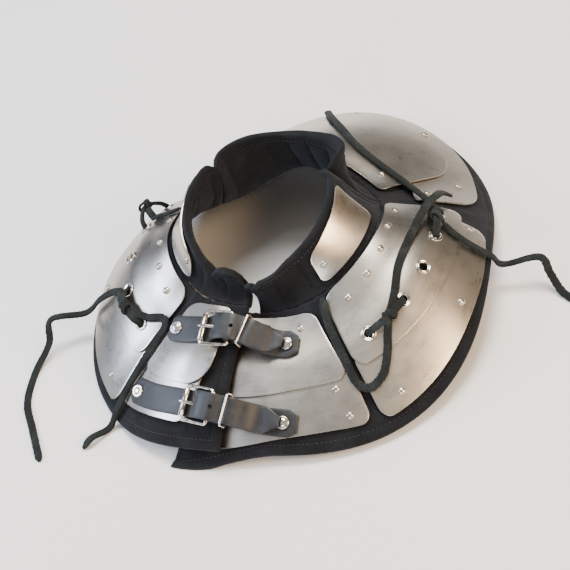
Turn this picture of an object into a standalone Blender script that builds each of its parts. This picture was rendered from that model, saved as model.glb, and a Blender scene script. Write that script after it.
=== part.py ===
"""Gorget: steel plates over a padded cotton yoke with a quilted standing collar.

Units are metres, +Z is up, +Y is the front of the wearer and -Y the buckled back.
A place on the armour is an angle around the neck (0 right shoulder, 90 front, -90 back),
a share of the slope (0 collar seam, 1 hem, negative values climb the collar) and a height
along the normal of the padding's outer skin.
"""

import math

import bmesh
import bpy
import numpy as np
from mathutils import Matrix, Vector

# Driving sizes of the padded yoke and collar
NECK_RADIUS = 0.095          # mean radius of the seam between yoke and collar
HEM_RADIUS = 0.210           # radius of the hem at the front
SLOPE_RISE = 0.068           # mean height of the collar seam above the hem
COLLAR_HEIGHT = 0.042        # mean height of the collar above its seam
RIM_RADIUS = 0.078           # mean radius of the collar's rim
SLOPE_CROWN = 0.0063         # how far the middle of the slope bulges above a straight line
COLLAR_LEAN = -0.008         # sideways lean of the rim
RACK = 0.12                  # twist of the worn-in yoke: fall in metres per square metre
YOKE_THICKNESS = 0.0072
COLLAR_THICKNESS = 0.010
HEM_PRESS = 0.003            # how far the padded hem gives way, and sags, to meet the surface
FLAP_LIFT = 0.0125           # how far the lapping flap lies above the skin of the flap below
FLAP_DROOP = 0.14            # extra length of the lower flap's corner, as a share of the slope
FLAP_DROOP_ANGLE = 28.0      # degrees over which that corner grows

# Driving sizes of the hardware
STEEL = 0.0015
GAP = 0.0003                 # clearance between neighbouring pieces
PLATE_SEAT = 0.0009          # clearance under and between the curved plates
CELL_ANGLE = 7.0             # degrees spanned by one cell of a plate
RIVET_RADIUS = 0.0034
RIVET_RISE = 0.0017
EYELET_RADIUS = 0.0070
EYELET_BORE_RADIUS = 0.00375
EYELET_BARREL_RADIUS = 0.0046
EYELET_RISE = 0.0011
STRAP_WIDTH = 0.025
STRAP_THICKNESS = 0.0025
STRAP_TIP = 0.0060           # length of the long strap's blunt point
STRAP_CLIP = 0.0050          # length of the short strap's clipped corners
STRAP_EASE = 0.0030          # flat stretch of the long strap on either side of the roller
FOLD_LENGTH = 0.010          # strap end folded back around the heel bar
STEP_LENGTH = 0.026          # length over which the straps come down off the lapping flap
HOLE_SHARE = 0.48            # place of the prong's hole between the roller and the heel bar
CAP_RADIUS = 0.0060
CAP_RISE = 0.0018
BUCKLE_LENGTH = 0.027        # roller axis to heel bar axis
BUCKLE_WIRE_RADIUS = 0.00175
ROLLER_WALL = 0.0008
PRONG_RADIUS = 0.0011
KEEPER_RADIUS = 0.0011
KEEPER_REACH = 0.0147        # keeper's distance beyond the heel bar
KEEPER_SPAN = 0.0060         # flat stretch of the straps under the keeper
LACE_WIDTH = 0.0064
LACE_THICKNESS = 0.0030
LACE_DIAMETER = 0.0060       # round equivalent of the flat lace, for its free ends
LACE_STEP = 0.0175           # spacing of the points along a free end
KNOT_STEP = 0.0042           # spacing of the sections along a knot
KNOT_SWELL = 0.45            # how much thicker the middle of a knot is, as a share

# Angles that split the padding, in degrees
LOWER_FLAP_END = -105.0
UPPER_FLAP_END = 269.0
FLAP_LIFT_START = 225.0
FLAP_LIFT_END = 254.0
PINCH_ANGLES = (25.0, 155.0)
COLLAR_ENDS = (-88.5, 268.5)

# One row for each fifth of the half ring, back to front. Lengths are shares of NECK_RADIUS,
# SLOPE_RISE, HEM_RADIUS, SLOPE_RISE, COLLAR_HEIGHT and RIM_RADIUS.
STATION_COLUMNS = ("angle", "neck_radius", "neck_rise", "hem_radius", "hem_rise", "collar", "rim_radius")
STATIONS = (
    (-90.0, 0.97, 0.77, 1.02, 0.04, 0.85, 1.06),
    (-45.0, 1.08, 1.00, 1.07, -0.07, 0.83, 1.05),
    (0.0, 1.07, 1.18, 0.92, 0.26, 0.92, 0.94),
    (45.0, 0.92, 0.88, 0.95, -0.09, 1.50, 0.96),
    (90.0, 0.86, 1.15, 1.00, 0.19, 1.02, 0.95),
)

# Each plate: its course, whether it is handed, its ends as angles at the inner and outer edge,
# its corner radii (start inner, start outer, end inner, end outer), and rows of angle, inner
# share and outer share. "step" is the share where an upper plate has climbed over the lower one.
PLATES = {
    "front_plate_upper": {
        "course": "upper", "handed": False, "step": (0.05, 0.20),
        "start": (35.0, 45.0), "end": (145.0, 135.0), "corners": (0.010, 0.026, 0.010, 0.026),
        "rows": ((35, 0.06, 0.72), (55, 0.05, 0.77), (72, 0.05, 0.81), (90, 0.05, 0.82),
                 (108, 0.05, 0.81), (125, 0.05, 0.77), (145, 0.06, 0.72)),
        "rivets": ((49, 0.18), (131, 0.18)),
    },
    "front_plate_lower": {
        "course": "lower", "handed": False,
        "start": (24.0, 27.0), "end": (156.0, 153.0), "corners": (0.009, 0.022, 0.009, 0.022),
        "rows": ((22, 0.30, 0.84), (38, 0.32, 0.87), (52, 0.33, 0.92), (70, 0.33, 0.96),
                 (90, 0.33, 0.96), (110, 0.33, 0.96), (128, 0.33, 0.92), (142, 0.32, 0.87),
                 (158, 0.30, 0.84)),
        "rivets": ((31, 0.44), (38, 0.73), (67, 0.88), (90, 0.88), (113, 0.88), (139, 0.57),
                   (142, 0.73)),
    },
    "shoulder_plate_upper": {
        "course": "upper", "handed": True, "step": (0.20, 0.44),
        "start": (-51.0, -51.0), "end": (17.5, 19.0), "corners": (0.014, 0.013, 0.008, 0.012),
        "rows": ((-51, 0.03, 0.575), (-36, 0.02, 0.59), (-20, 0.02, 0.635), (-3, 0.02, 0.68),
                 (19, 0.02, 0.69)),
        "rivets": ((10, 0.12), (-4, 0.09), (-17, 0.11), (-29, 0.13), (-41, 0.15)),
    },
    "shoulder_plate_lower": {
        "course": "lower", "handed": True,
        "start": (-51.0, -51.0), "end": (15.0, 12.5), "corners": (0.005, 0.010, 0.005, 0.013),
        "rows": ((-51, 0.50, 0.92), (-35, 0.52, 0.91), (-20, 0.56, 0.91), (-3, 0.59, 0.93),
                 (15, 0.60, 0.90)),
        "rivets": ((12, 0.78), (-16, 0.82), (-44, 0.83)),
    },
    "back_plate_upper_right": {
        "course": "upper", "handed": False, "step": (0.16, 0.46),
        "start": (-98.0, -98.0), "end": (-57.0, -54.0), "corners": (0.006, 0.006, 0.010, 0.010),
        "rows": ((-98, 0.06, 0.66), (-82, 0.06, 0.63), (-70, 0.07, 0.595), (-54, 0.09, 0.59)),
        "rivets": ((-64.5, 0.18),),
    },
    "back_plate_lower_right": {
        "course": "lower", "handed": False,
        "start": (-102.0, -102.5), "end": (-53.0, -53.5), "corners": (0.006, 0.010, 0.006, 0.010),
        "rows": ((-102, 0.52, 1.00), (-90, 0.52, 0.97), (-76, 0.51, 0.90), (-64, 0.50, 0.88),
                 (-53, 0.50, 0.90)),
        "rivets": ((-59, 0.64), (-58, 0.82)),
    },
    "back_plate_upper_left": {
        "course": "upper", "handed": False, "step": (0.16, 0.46),
        "start": (236.0, 235.0), "end": (262.0, 262.0), "corners": (0.010, 0.010, 0.010, 0.024),
        "rows": ((235, 0.06, 0.60), (248, 0.04, 0.60), (262, 0.04, 0.61)),
        "rivets": (),
    },
    "back_plate_lower_left": {
        "course": "lower", "handed": False,
        "start": (236.0, 233.0), "end": (259.5, 258.5), "corners": (0.006, 0.010, 0.006, 0.012),
        "rows": ((233, 0.50, 0.86), (248, 0.50, 0.845), (260, 0.50, 0.85)),
        "rivets": (),
    },
    "collar_plate": {
        "course": "collar", "handed": True,
        "start": (-46.0, -46.5), "end": (5.0, 0.0), "corners": (0.008, 0.009, 0.004, 0.006),
        "rows": ((-47, -0.70, -0.16), (-30, -0.78, -0.15), (-12, -0.84, -0.17), (5, -0.93, -0.24)),
        "rivets": ((-41, -0.44),),
    },
}

# Angle and share of the eyelets of one shoulder
EYELETS = ((13.2, 0.49), (0.0, 0.49), (-14.5, 0.47), (-27.7, 0.45), (-42.8, 0.43))

# Each fastening: the plate under its left end and the roller's angle. The short strap's end, the
# long strap's tip and both caps are distances from the roller, and the rows are the angle and
# share that the straps' middle follows.
FASTENINGS = {
    "upper": {
        "plate": "back_plate_upper_left",
        "roller": 253.4, "right": 0.0860, "tip": 0.0745,
        "cap_left": 0.0290, "cap_right": 0.0765,
        "rows": ((235, 0.29), (253, 0.235), (268, 0.215), (280, 0.26), (298, 0.31)),
    },
    "lower": {
        "plate": "back_plate_lower_left",
        "roller": 257.7, "right": 0.0985, "tip": 0.0850,
        "cap_left": 0.0590, "cap_right": 0.0870,
        "rows": ((234, 0.745), (258, 0.725), (269, 0.75), (280, 0.79), (294, 0.83)),
    },
}

# Knotted laces: rows of angle, share and height, from one eyelet's bore over to the next
LACE_KNOTS = {
    "lace_front_right": (
        (0.0, 0.49, 0.0008), (0.0, 0.49, 0.0065), (2.5, 0.47, 0.0125), (6.0, 0.455, 0.0145),
        (10.0, 0.46, 0.0135), (13.2, 0.49, 0.0065), (13.2, 0.49, 0.0008),
    ),
    "lace_back_right": (
        (-42.8, 0.43, 0.0008), (-42.8, 0.43, 0.0065), (-40.0, 0.44, 0.0120), (-35.0, 0.45, 0.0135),
        (-30.5, 0.455, 0.0120), (-27.7, 0.45, 0.0065), (-27.7, 0.45, 0.0008),
    ),
    "lace_front_left": (
        (180.0, 0.49, 0.0008), (180.0, 0.49, 0.0065), (178.0, 0.50, 0.0140), (173.5, 0.51, 0.0200),
        (169.0, 0.50, 0.0140), (166.8, 0.49, 0.0065), (166.8, 0.49, 0.0008),
    ),
    "lace_back_left": (
        (207.7, 0.45, 0.0008), (207.7, 0.45, 0.0065), (210.5, 0.455, 0.0120),
        (215.0, 0.45, 0.0135), (220.0, 0.44, 0.0120), (222.8, 0.43, 0.0065), (222.8, 0.43, 0.0008),
    ),
}

# Free lace ends: chosen rows of angle, share and height above the skin. Past FLOOR_SHARE the
# height is the height above the surface that the gorget stands on.
FLOOR_SHARE = 1.12
LACE_TAILS = {
    "lace_front_right_end_1": (
        (17.5, 0.43, 0.0085), (24.0, 0.37, 0.0080), (41.0, 0.26, 0.0082), (57.0, 0.22, 0.0084),
        (72.0, 0.26, 0.0084), (85.0, 0.43, 0.0080), (93.0, 0.62, 0.0090), (99.0, 0.90, 0.0090),
    ),
    "lace_front_right_end_2": (
        (6.5, 0.545, 0.0085), (4.0, 0.64, 0.0082), (3.0, 0.78, 0.0072), (3.0, 0.96, 0.0066),
        (3.0, 1.07, 0.0050), (2.5, 1.22, 0.0330), (1.5, 1.42, 0.0180), (-0.5, 1.64, 0.0050),
        (-3.0, 1.88, 0.0032), (-5.0, 2.12, 0.0032),
    ),
    "lace_back_right_end_1": (
        (-27.0, 0.365, 0.0080), (-20.0, 0.30, 0.0072), (-11.5, 0.285, 0.0072),
        (-0.5, 0.31, 0.0120), (8.0, 0.355, 0.0190), (16.0, 0.44, 0.0215), (22.0, 0.51, 0.0170),
        (26.0, 0.60, 0.0110),
    ),
    "lace_back_right_end_2": (
        (-38.5, 0.52, 0.0085), (-42.0, 0.61, 0.0082), (-46.0, 0.69, 0.0075),
        (-50.5, 0.715, 0.0075), (-53.0, 0.65, 0.0075), (-53.2, 0.50, 0.0080),
        (-53.2, 0.34, 0.0082), (-52.5, 0.20, 0.0082), (-50.0, 0.05, 0.0070),
    ),
    "lace_front_left_end_1": (
        (176.5, 0.42, 0.0085), (176.8, 0.30, 0.0071), (176.8, 0.16, 0.0062), (176.8, 0.03, 0.0060),
    ),
    "lace_back_left_end_1": (
        (206.0, 0.53, 0.0083), (203.0, 0.64, 0.0085), (201.0, 0.80, 0.0100), (200.0, 1.00, 0.0120),
        (200.5, 1.18, 0.0330), (203.0, 1.38, 0.0130), (208.0, 1.56, 0.0035), (215.0, 1.60, 0.0032),
        (222.0, 1.58, 0.0032), (230.0, 1.62, 0.0032),
    ),
    "lace_back_left_end_2": (
        (224.0, 0.36, 0.0080), (229.0, 0.285, 0.0068), (233.0, 0.31, 0.0074),
        (234.0, 0.42, 0.0085), (234.0, 0.60, 0.0080), (234.0, 0.80, 0.0075), (234.0, 0.95, 0.0055),
        (234.0, 1.05, 0.0050), (234.0, 1.18, 0.0080), (234.0, 1.30, 0.0032),
    ),
}

# Colours as linear red, green, blue; roughness; metallic
FINISHES = {
    "steel": ((0.46, 0.43, 0.39), 0.32, 1.0),
    "nickel": ((0.70, 0.68, 0.64), 0.16, 1.0),
    "cotton": ((0.006, 0.007, 0.009), 0.92, 0.0),
    "leather": ((0.016, 0.016, 0.017), 0.48, 0.0),
    "suede": ((0.014, 0.020, 0.021), 0.80, 0.0),
}


def clear_scene():
    for item in list(bpy.data.objects):
        bpy.data.objects.remove(item)


def finish(name):
    material = bpy.data.materials.get(name)
    if material is None:
        colour, roughness, metallic = FINISHES[name]
        material = bpy.data.materials.new(name)
        material.use_nodes = True
        shader = material.node_tree.nodes["Principled BSDF"]
        shader.inputs["Base Color"].default_value = (*colour, 1.0)
        shader.inputs["Roughness"].default_value = roughness
        shader.inputs["Metallic"].default_value = metallic
    return material


def smooth_step(value):
    value = min(max(value, 0.0), 1.0)
    return value * value * (3.0 - 2.0 * value)


def station_terms(angle):
    turn = math.radians(angle)
    return (1.0, math.sin(turn), math.cos(2 * turn), math.sin(3 * turn), math.cos(4 * turn))


def station_weights():
    """Solve the station table so that every column becomes one smooth function of the angle."""
    matrix = np.array([station_terms(row[0]) for row in STATIONS])
    return np.linalg.solve(matrix, np.array([row[1:] for row in STATIONS]))


WEIGHTS = station_weights()


def section(angle):
    """Neck radius and height, hem radius and height, rim radius and height at an angle."""
    share = dict(zip(STATION_COLUMNS[1:], np.array(station_terms(angle)) @ WEIGHTS))
    neck_height = SLOPE_RISE * share["neck_rise"]
    return {
        "neck_radius": NECK_RADIUS * share["neck_radius"],
        "neck_height": neck_height,
        "hem_radius": HEM_RADIUS * share["hem_radius"],
        "hem_height": SLOPE_RISE * share["hem_rise"],
        "rim_radius": RIM_RADIUS * share["rim_radius"],
        "rim_height": neck_height + COLLAR_HEIGHT * share["collar"],
    }


def slope_profile(cut, share):
    """Radius and height on the yoke's slope."""
    radius = cut["neck_radius"] + share * (cut["hem_radius"] - cut["neck_radius"])
    height = cut["neck_height"] + share * (cut["hem_height"] - cut["neck_height"])
    return radius, height + 4.0 * SLOPE_CROWN * share * (1.0 - share)


def collar_profile(cut, rise):
    """Radius and height on the collar: a Bezier curve from the slope's tangent to upright."""
    run = cut["hem_radius"] - cut["neck_radius"]
    fall = cut["neck_height"] - cut["hem_height"] - 4.0 * SLOPE_CROWN
    steep = math.hypot(run, fall)
    start = (cut["neck_radius"], cut["neck_height"])
    end = (cut["rim_radius"], cut["rim_height"])
    reach = math.hypot(end[0] - start[0], end[1] - start[1])
    first = (start[0] - 0.24 * reach * run / steep, start[1] + 0.24 * reach * fall / steep)
    second = (end[0], end[1] - 0.18 * reach)
    keep = 1.0 - rise
    terms = (keep ** 3, 3 * keep * keep * rise, 3 * keep * rise * rise, rise ** 3)
    points = (start, first, second, end)
    radius = sum(term * point[0] for term, point in zip(terms, points))
    height = sum(term * point[1] for term, point in zip(terms, points))
    return radius, height


def raw_skin(angle, share):
    """Point on the padding's outer skin before the armour is set down on its hem."""
    cut = section(angle)
    rise = max(-share, 0.0)
    radius, height = collar_profile(cut, rise) if share < 0.0 else slope_profile(cut, share)
    turn = math.radians(angle)
    x = radius * math.cos(turn) + COLLAR_LEAN * rise * rise
    y = radius * math.sin(turn)
    return np.array((x, y, height - RACK * x * y))


def skin_normal(angle, share):
    """Outward normal of the skin, from small steps in share and angle."""
    step_share, step_angle = 0.004, 0.25
    along = raw_skin(angle, share + step_share) - raw_skin(angle, share - step_share)
    around = raw_skin(angle + step_angle, share) - raw_skin(angle - step_angle, share)
    normal = np.cross(along, around)
    return normal / np.linalg.norm(normal)


def hem_share(angle):
    """The hem lies at share 1, and the lower flap's corner hangs further down."""
    corner = 1.0 - (angle - LOWER_FLAP_END) / FLAP_DROOP_ANGLE
    return 1.0 + FLAP_DROOP * smooth_step(corner) if angle < 0.0 else 1.0


def flap_lift(angle):
    """Extra height of the lapping flap, whose angles run on past 180 at the back left."""
    return FLAP_LIFT * smooth_step((angle - FLAP_LIFT_START) / (FLAP_LIFT_END - FLAP_LIFT_START))


def set_down_shift():
    """Shift that centres the hem on the origin and presses its low corners on the surface."""
    corners, lowest = [], []
    for angle in np.arange(LOWER_FLAP_END, UPPER_FLAP_END + 0.5, 1.0):
        share = hem_share(angle)
        top = raw_skin(angle, share)
        corners += [top, top - YOKE_THICKNESS * skin_normal(angle, share)]
        lowest.append(raw_skin(angle, 1.0)[2] - YOKE_THICKNESS * skin_normal(angle, 1.0)[2])
    low, high = np.min(corners, axis=0), np.max(corners, axis=0)
    return np.array((-(low[0] + high[0]) / 2.0, -(low[1] + high[1]) / 2.0, -min(lowest) - HEM_PRESS))


SHIFT = set_down_shift()


def place(angle, share, height=0.0):
    """Point at a height above the skin, in the armour's own frame."""
    return raw_skin(angle, share) + SHIFT + height * skin_normal(angle, share)


def follow(rows, column, angle):
    """Smooth value of one column of a table whose first column is the angle."""
    angles = [row[0] for row in rows]
    values = [row[column] for row in rows]
    slopes = np.gradient(values, angles)
    if angle <= angles[0]:
        return values[0] + slopes[0] * (angle - angles[0])
    for index in range(len(rows) - 1):
        if angle <= angles[index + 1]:
            break
    width = angles[index + 1] - angles[index]
    part = min((angle - angles[index]) / width, 1.0)
    rest = 1.0 - part
    value = values[index] * rest * rest * (1 + 2 * part) + values[index + 1] * part * part * (1 + 2 * rest)
    value += width * part * rest * (slopes[index] * rest - slopes[index + 1] * part)
    return value + slopes[index + 1] * max(angle - angles[index + 1], 0.0)


def smooth_route(points, spacing):
    """Evenly spaced points on a Catmull-Rom curve through the given ones."""
    points = [np.array(point) for point in points]
    ends = [2 * points[0] - points[1]] + points + [2 * points[-1] - points[-2]]
    fine = []
    for index in range(1, len(ends) - 2):
        before, start, end, after = ends[index - 1:index + 3]
        for part in np.linspace(0.0, 1.0, 24, endpoint=False):
            bend = 2 * before - 5 * start + 4 * end - after
            twist = -before + 3 * start - 3 * end + after
            fine.append(start + 0.5 * (part * (end - before) + part ** 2 * bend + part ** 3 * twist))
    fine.append(points[-1])
    lengths = np.concatenate([[0.0], np.cumsum(np.linalg.norm(np.diff(fine, axis=0), axis=1))])
    count = max(int(round(lengths[-1] / spacing)), 2)
    marks = np.linspace(0.0, lengths[-1], count + 1)
    return np.stack([np.interp(marks, lengths, np.array(fine)[:, axis]) for axis in range(3)], axis=1)


def add_object(name, mesh_data, finish_name):
    """Turn a bmesh into an object that is shaded smooth except at sharp edges."""
    bmesh.ops.recalc_face_normals(mesh_data, faces=mesh_data.faces)
    if mesh_data.calc_volume(signed=True) < 0.0:
        bmesh.ops.reverse_faces(mesh_data, faces=mesh_data.faces)
    mesh = bpy.data.meshes.new(name)
    mesh_data.to_mesh(mesh)
    mesh_data.free()
    mesh.shade_smooth()
    mesh.set_sharp_from_angle(angle=math.radians(40.0))
    mesh.materials.append(finish(finish_name))
    item = bpy.data.objects.new(name, mesh)
    bpy.context.scene.collection.objects.link(item)
    return item


def shell(name, top, bottom, finish_name):
    """Closed solid between two grids of points."""
    rows, columns = len(top), len(top[0])
    data = bmesh.new()
    upper = [[data.verts.new(point) for point in row] for row in top]
    lower = [[data.verts.new(point) for point in row] for row in bottom]
    for row in range(rows - 1):
        for column in range(columns - 1):
            corners = ((row, column), (row + 1, column), (row + 1, column + 1), (row, column + 1))
            data.faces.new([upper[i][j] for i, j in corners])
            data.faces.new([lower[i][j] for i, j in reversed(corners)])
    loop = [(0, column) for column in range(columns)]
    loop += [(row, columns - 1) for row in range(1, rows)]
    loop += [(rows - 1, column) for column in range(columns - 2, -1, -1)]
    loop += [(row, 0) for row in range(rows - 2, 0, -1)]
    for (i, j), (m, n) in zip(loop, loop[1:] + loop[:1]):
        data.faces.new((upper[i][j], upper[m][n], lower[m][n], lower[i][j]))
    bmesh.ops.triangulate(data, faces=data.faces)
    return add_object(name, data, finish_name)


def swept(name, centres, sides, ups, outline, finish_name, closed=False):
    """Closed solid of an outline of (side, up) offsets carried along centres."""
    data = bmesh.new()
    rings = []
    for centre, side, up in zip(centres, sides, ups):
        rings.append([data.verts.new(centre + a * side + b * up) for a, b in outline(len(rings))])
    last = len(rings) if closed else len(rings) - 1
    for index in range(last):
        near, far = rings[index], rings[(index + 1) % len(rings)]
        for k in range(len(near)):
            data.faces.new((near[k], near[(k + 1) % len(near)], far[(k + 1) % len(far)], far[k]))
    if not closed:
        data.faces.new(rings[0])
        data.faces.new(rings[-1])
    bmesh.ops.triangulate(data, faces=data.faces)
    return add_object(name, data, finish_name)


def turned(name, profile, steps, matrix, finish_name):
    """Closed ring solid of a profile of (radius, height) turned around the matrix's Z axis."""
    data = bmesh.new()
    rings = []
    for radius, height in profile:
        ring = []
        for step in range(steps if radius > 0.0 else 1):
            turn = 2 * math.pi * step / steps
            point = Vector((radius * math.cos(turn), radius * math.sin(turn), height))
            ring.append(data.verts.new(matrix @ point))
        rings.append(ring)
    if profile[0][0] > 0.0 and profile[-1][0] > 0.0:
        rings.append(rings[0])
    for near, far in zip(rings, rings[1:]):
        for k in range(steps):
            quad = [near[k % len(near)], near[(k + 1) % len(near)]]
            quad += [far[(k + 1) % len(far)], far[k % len(far)]]
            data.faces.new(list(dict.fromkeys(quad)))
    bmesh.ops.triangulate(data, faces=data.faces)
    return add_object(name, data, finish_name)


def frame_at(origin, along, up):
    """Matrix with X along a direction and Z as near as possible to the up direction."""
    x_axis = Vector(along).normalized()
    y_axis = Vector(up).cross(x_axis).normalized()
    z_axis = x_axis.cross(y_axis)
    matrix = Matrix((x_axis, y_axis, z_axis)).transposed().to_4x4()
    matrix.translation = Vector(origin)
    return matrix


def skin_frame(angle, share, height):
    """Matrix on the skin with Z along its normal and X around the neck."""
    around = raw_skin(angle + 0.25, share) - raw_skin(angle - 0.25, share)
    return frame_at(place(angle, share, height), around, skin_normal(angle, share))


def cut_or_join(target, tool, operation):
    """Apply one Boolean to the target's mesh and remove the tool."""
    modifier = target.modifiers.new(operation, "BOOLEAN")
    modifier.operation = operation
    modifier.solver = "EXACT"
    modifier.object = tool
    bpy.context.view_layer.update()
    evaluated = target.evaluated_get(bpy.context.evaluated_depsgraph_get())
    mesh = bpy.data.meshes.new_from_object(evaluated)
    target.modifiers.clear()
    target.data = mesh
    bpy.data.objects.remove(tool)


def build_yoke():
    """One padded piece around the neck; its left flap laps over its right flap at the back."""
    turns = np.linspace(LOWER_FLAP_END, UPPER_FLAP_END, 53)
    parts = (0.0, 0.14, 0.32, 0.5, 0.68, 0.84, 0.955, 1.0)
    top, bottom = [], []
    for angle in turns:
        lift = flap_lift(angle)
        shares = [part * hem_share(angle) for part in parts]
        top.append([place(angle, share, lift) for share in shares])
        bottom.append([place(angle, share, lift - YOKE_THICKNESS) for share in shares])
    for upper, lower in zip(top, bottom):
        for high, low in zip(upper, lower):
            low[2] = low[2] if low[2] > HEM_PRESS else 0.0
            high[2] = max(high[2], low[2] + YOKE_THICKNESS - HEM_PRESS)
    return shell("liner_mantle", top, bottom, "cotton")


def build_collar():
    """Three quilted segments that meet at the pinch folds and at the back opening."""
    seam = GAP / 2.0 / (RIM_RADIUS - COLLAR_THICKNESS)
    margin = math.degrees(seam)
    spans = {
        "liner_collar_right": (COLLAR_ENDS[0], PINCH_ANGLES[0] - margin, 13),
        "liner_collar_front": (PINCH_ANGLES[0] + margin, PINCH_ANGLES[1] - margin, 15),
        "liner_collar_left": (PINCH_ANGLES[1] + margin, COLLAR_ENDS[1], 13),
    }
    foot = 3 * GAP / (0.72 * COLLAR_HEIGHT)
    parts = (0.0, 0.14, 0.3, 0.48, 0.66, 0.84, 1.0)
    for name, (start, end, count) in spans.items():
        top, bottom = [], []
        for angle in np.linspace(start, end, count + 1):
            rises = [foot + (1.0 - foot) * part for part in parts]
            lifts = [flap_lift(angle) * (1.0 - rise) ** 2 * skin_normal(angle, 0.0) for rise in rises]
            top.append([place(angle, -rise) + lift for rise, lift in zip(rises, lifts)])
            bottom.append([place(angle, -rise, -COLLAR_THICKNESS) + lift
                           for rise, lift in zip(rises, lifts)])
        shell(name, top, bottom, "cotton")


def mirrored(angle):
    return 180.0 - angle


def plate_underside(plate, angle, share):
    """Height of a plate's underside above the skin."""
    height = PLATE_SEAT + flap_lift(angle)
    if plate["course"] == "upper":
        low, high = plate["step"]
        height += (STEEL + PLATE_SEAT) * smooth_step((share - low) / (high - low))
    return height


def corner_inset(distance, radius):
    """How far a rounded corner pulls in an end at a distance from the plate's edge."""
    if distance >= radius:
        return 0.0
    return radius - math.sqrt(radius * radius - (radius - distance) ** 2)


def plate_grid(plate, cells_along, parts_across):
    """Angle and share of each grid point of a plate with rounded corners."""
    rows = plate["rows"]
    middle = (plate["start"][0] + plate["end"][0]) / 2.0
    inner, outer = follow(rows, 1, middle), follow(rows, 2, middle)
    width = np.linalg.norm(raw_skin(middle, outer) - raw_skin(middle, inner))
    grid = []
    for part in parts_across:
        ends = []
        for key, sign, corner in (("start", 1.0, 0), ("end", -1.0, 2)):
            angle = plate[key][0] + part * (plate[key][1] - plate[key][0])
            share = inner + part * (outer - inner)
            cut = section(angle)
            radius = slope_profile(cut, share)[0] if share > 0.0 else collar_profile(cut, -share)[0]
            inset = corner_inset(part * width, plate["corners"][corner])
            inset += corner_inset((1.0 - part) * width, plate["corners"][corner + 1])
            ends.append(angle + sign * math.degrees(inset / radius))
        line = []
        for angle in np.linspace(ends[0], ends[1], cells_along + 1):
            low, high = follow(rows, 1, angle), follow(rows, 2, angle)
            line.append((angle, low + part * (high - low)))
        grid.append(line)
    return grid


def build_plate(name, plate, side):
    """A curved steel plate with its round-head rivets."""
    turn = mirrored if side == "left" else float
    cells = max(round(abs(plate["end"][0] - plate["start"][0]) / CELL_ANGLE), 4)
    grid = plate_grid(plate, cells, (0.0, 0.06, 0.2, 0.5, 0.8, 0.94, 1.0))
    top, bottom = [], []
    for line in grid:
        heights = [plate_underside(plate, turn(angle), share) for angle, share in line]
        bottom.append([place(turn(angle), share, height)
                       for (angle, share), height in zip(line, heights)])
        top.append([place(turn(angle), share, height + STEEL)
                    for (angle, share), height in zip(line, heights)])
    item = shell(name, top, bottom, "steel")
    sink = STEEL * 0.6
    for angle, share in plate["rivets"]:
        seat = plate_underside(plate, turn(angle), share) + STEEL
        matrix = skin_frame(turn(angle), share, seat)
        profile = ((0.0, -sink), (RIVET_RADIUS, -sink),
                   (0.85 * RIVET_RADIUS, 0.6 * RIVET_RISE), (0.0, RIVET_RISE))
        cut_or_join(item, turned("rivet", profile, 7, matrix, "steel"), "UNION")
    return item


def build_shoulder_eyelets(item, plate, side):
    """Bore the upper shoulder plate and seat an eyelet in each bore."""
    turn = mirrored if side == "left" else float
    for number, (angle, share) in enumerate(EYELETS, 1):
        seat = plate_underside(plate, turn(angle), share) + STEEL
        matrix = skin_frame(turn(angle), share, seat)
        bore = EYELET_BARREL_RADIUS + 2 * GAP
        cutter = ((0.0, -4 * STEEL), (bore, -4 * STEEL), (bore, 2 * STEEL), (0.0, 2 * STEEL))
        cut_or_join(item, turned("bore", cutter, 8, matrix, "steel"), "DIFFERENCE")
        profile = ((EYELET_RADIUS, GAP), (0.8 * EYELET_RADIUS, EYELET_RISE), (EYELET_BORE_RADIUS, 2 * GAP),
                   (EYELET_BORE_RADIUS, 2 * GAP - seat), (EYELET_BARREL_RADIUS, 2 * GAP - seat),
                   (EYELET_BARREL_RADIUS, GAP))
        turned(f"eyelet_{side}_{number}", profile, 11, matrix, "nickel")


def build_plates():
    for key, plate in PLATES.items():
        for side in ("right", "left") if plate["handed"] else ("",):
            item = build_plate(f"{key}_{side}" if side else key, plate, side)
            if key == "shoulder_plate_upper":
                build_shoulder_eyelets(item, plate, side)


def strap_angle(fastening, along):
    """Angle at a distance along from the roller."""
    angle = fastening["roller"]
    radius = slope_profile(section(angle), follow(fastening["rows"], 1, angle))[0]
    return angle + math.degrees(along / radius)


def strap_frame(fastening, along):
    """Normal and crosswise direction of a fastening; both stay steady through the buckle."""
    middle, reach = BUCKLE_LENGTH / 2.0, BUCKLE_LENGTH
    if -reach < along < 2 * reach:
        along = np.interp(along, (-reach, 0.0, reach, 2 * reach), (-reach, middle, middle, 2 * reach))
    angle = strap_angle(fastening, along)
    normal = skin_normal(angle, follow(fastening["rows"], 1, angle))
    ahead = place(angle + 0.5, follow(fastening["rows"], 1, angle + 0.5), FLAP_LIFT)
    behind = place(angle - 0.5, follow(fastening["rows"], 1, angle - 0.5), FLAP_LIFT)
    crosswise = np.cross(ahead - behind, normal)
    return normal, crosswise / np.linalg.norm(crosswise)


def strap_place(fastening, along, across, height):
    """Point of a fastening: distance along from the roller, distance across, height."""
    angle = strap_angle(fastening, along)
    normal, crosswise = strap_frame(fastening, along)
    return place(angle, follow(fastening["rows"], 1, angle)) + height * normal + across * crosswise


def strap_ground(fastening, along):
    """Height of what lies under the straps: plates, and the lapping flap's step at the back."""
    angle = strap_angle(fastening, along)
    cut = section(angle)
    slope = math.hypot(cut["hem_radius"] - cut["neck_radius"], cut["neck_height"] - cut["hem_height"])
    edge = follow(fastening["rows"], 1, angle) + 0.5 * STRAP_WIDTH / slope
    step = BUCKLE_LENGTH + KEEPER_REACH + 0.2 * STRAP_WIDTH
    fall = smooth_step((along - step) / STEP_LENGTH)
    seat = plate_underside(PLATES[fastening["plate"]], angle, edge) + STEEL
    return seat + 2.5 * GAP - flap_lift(angle) * fall


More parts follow.
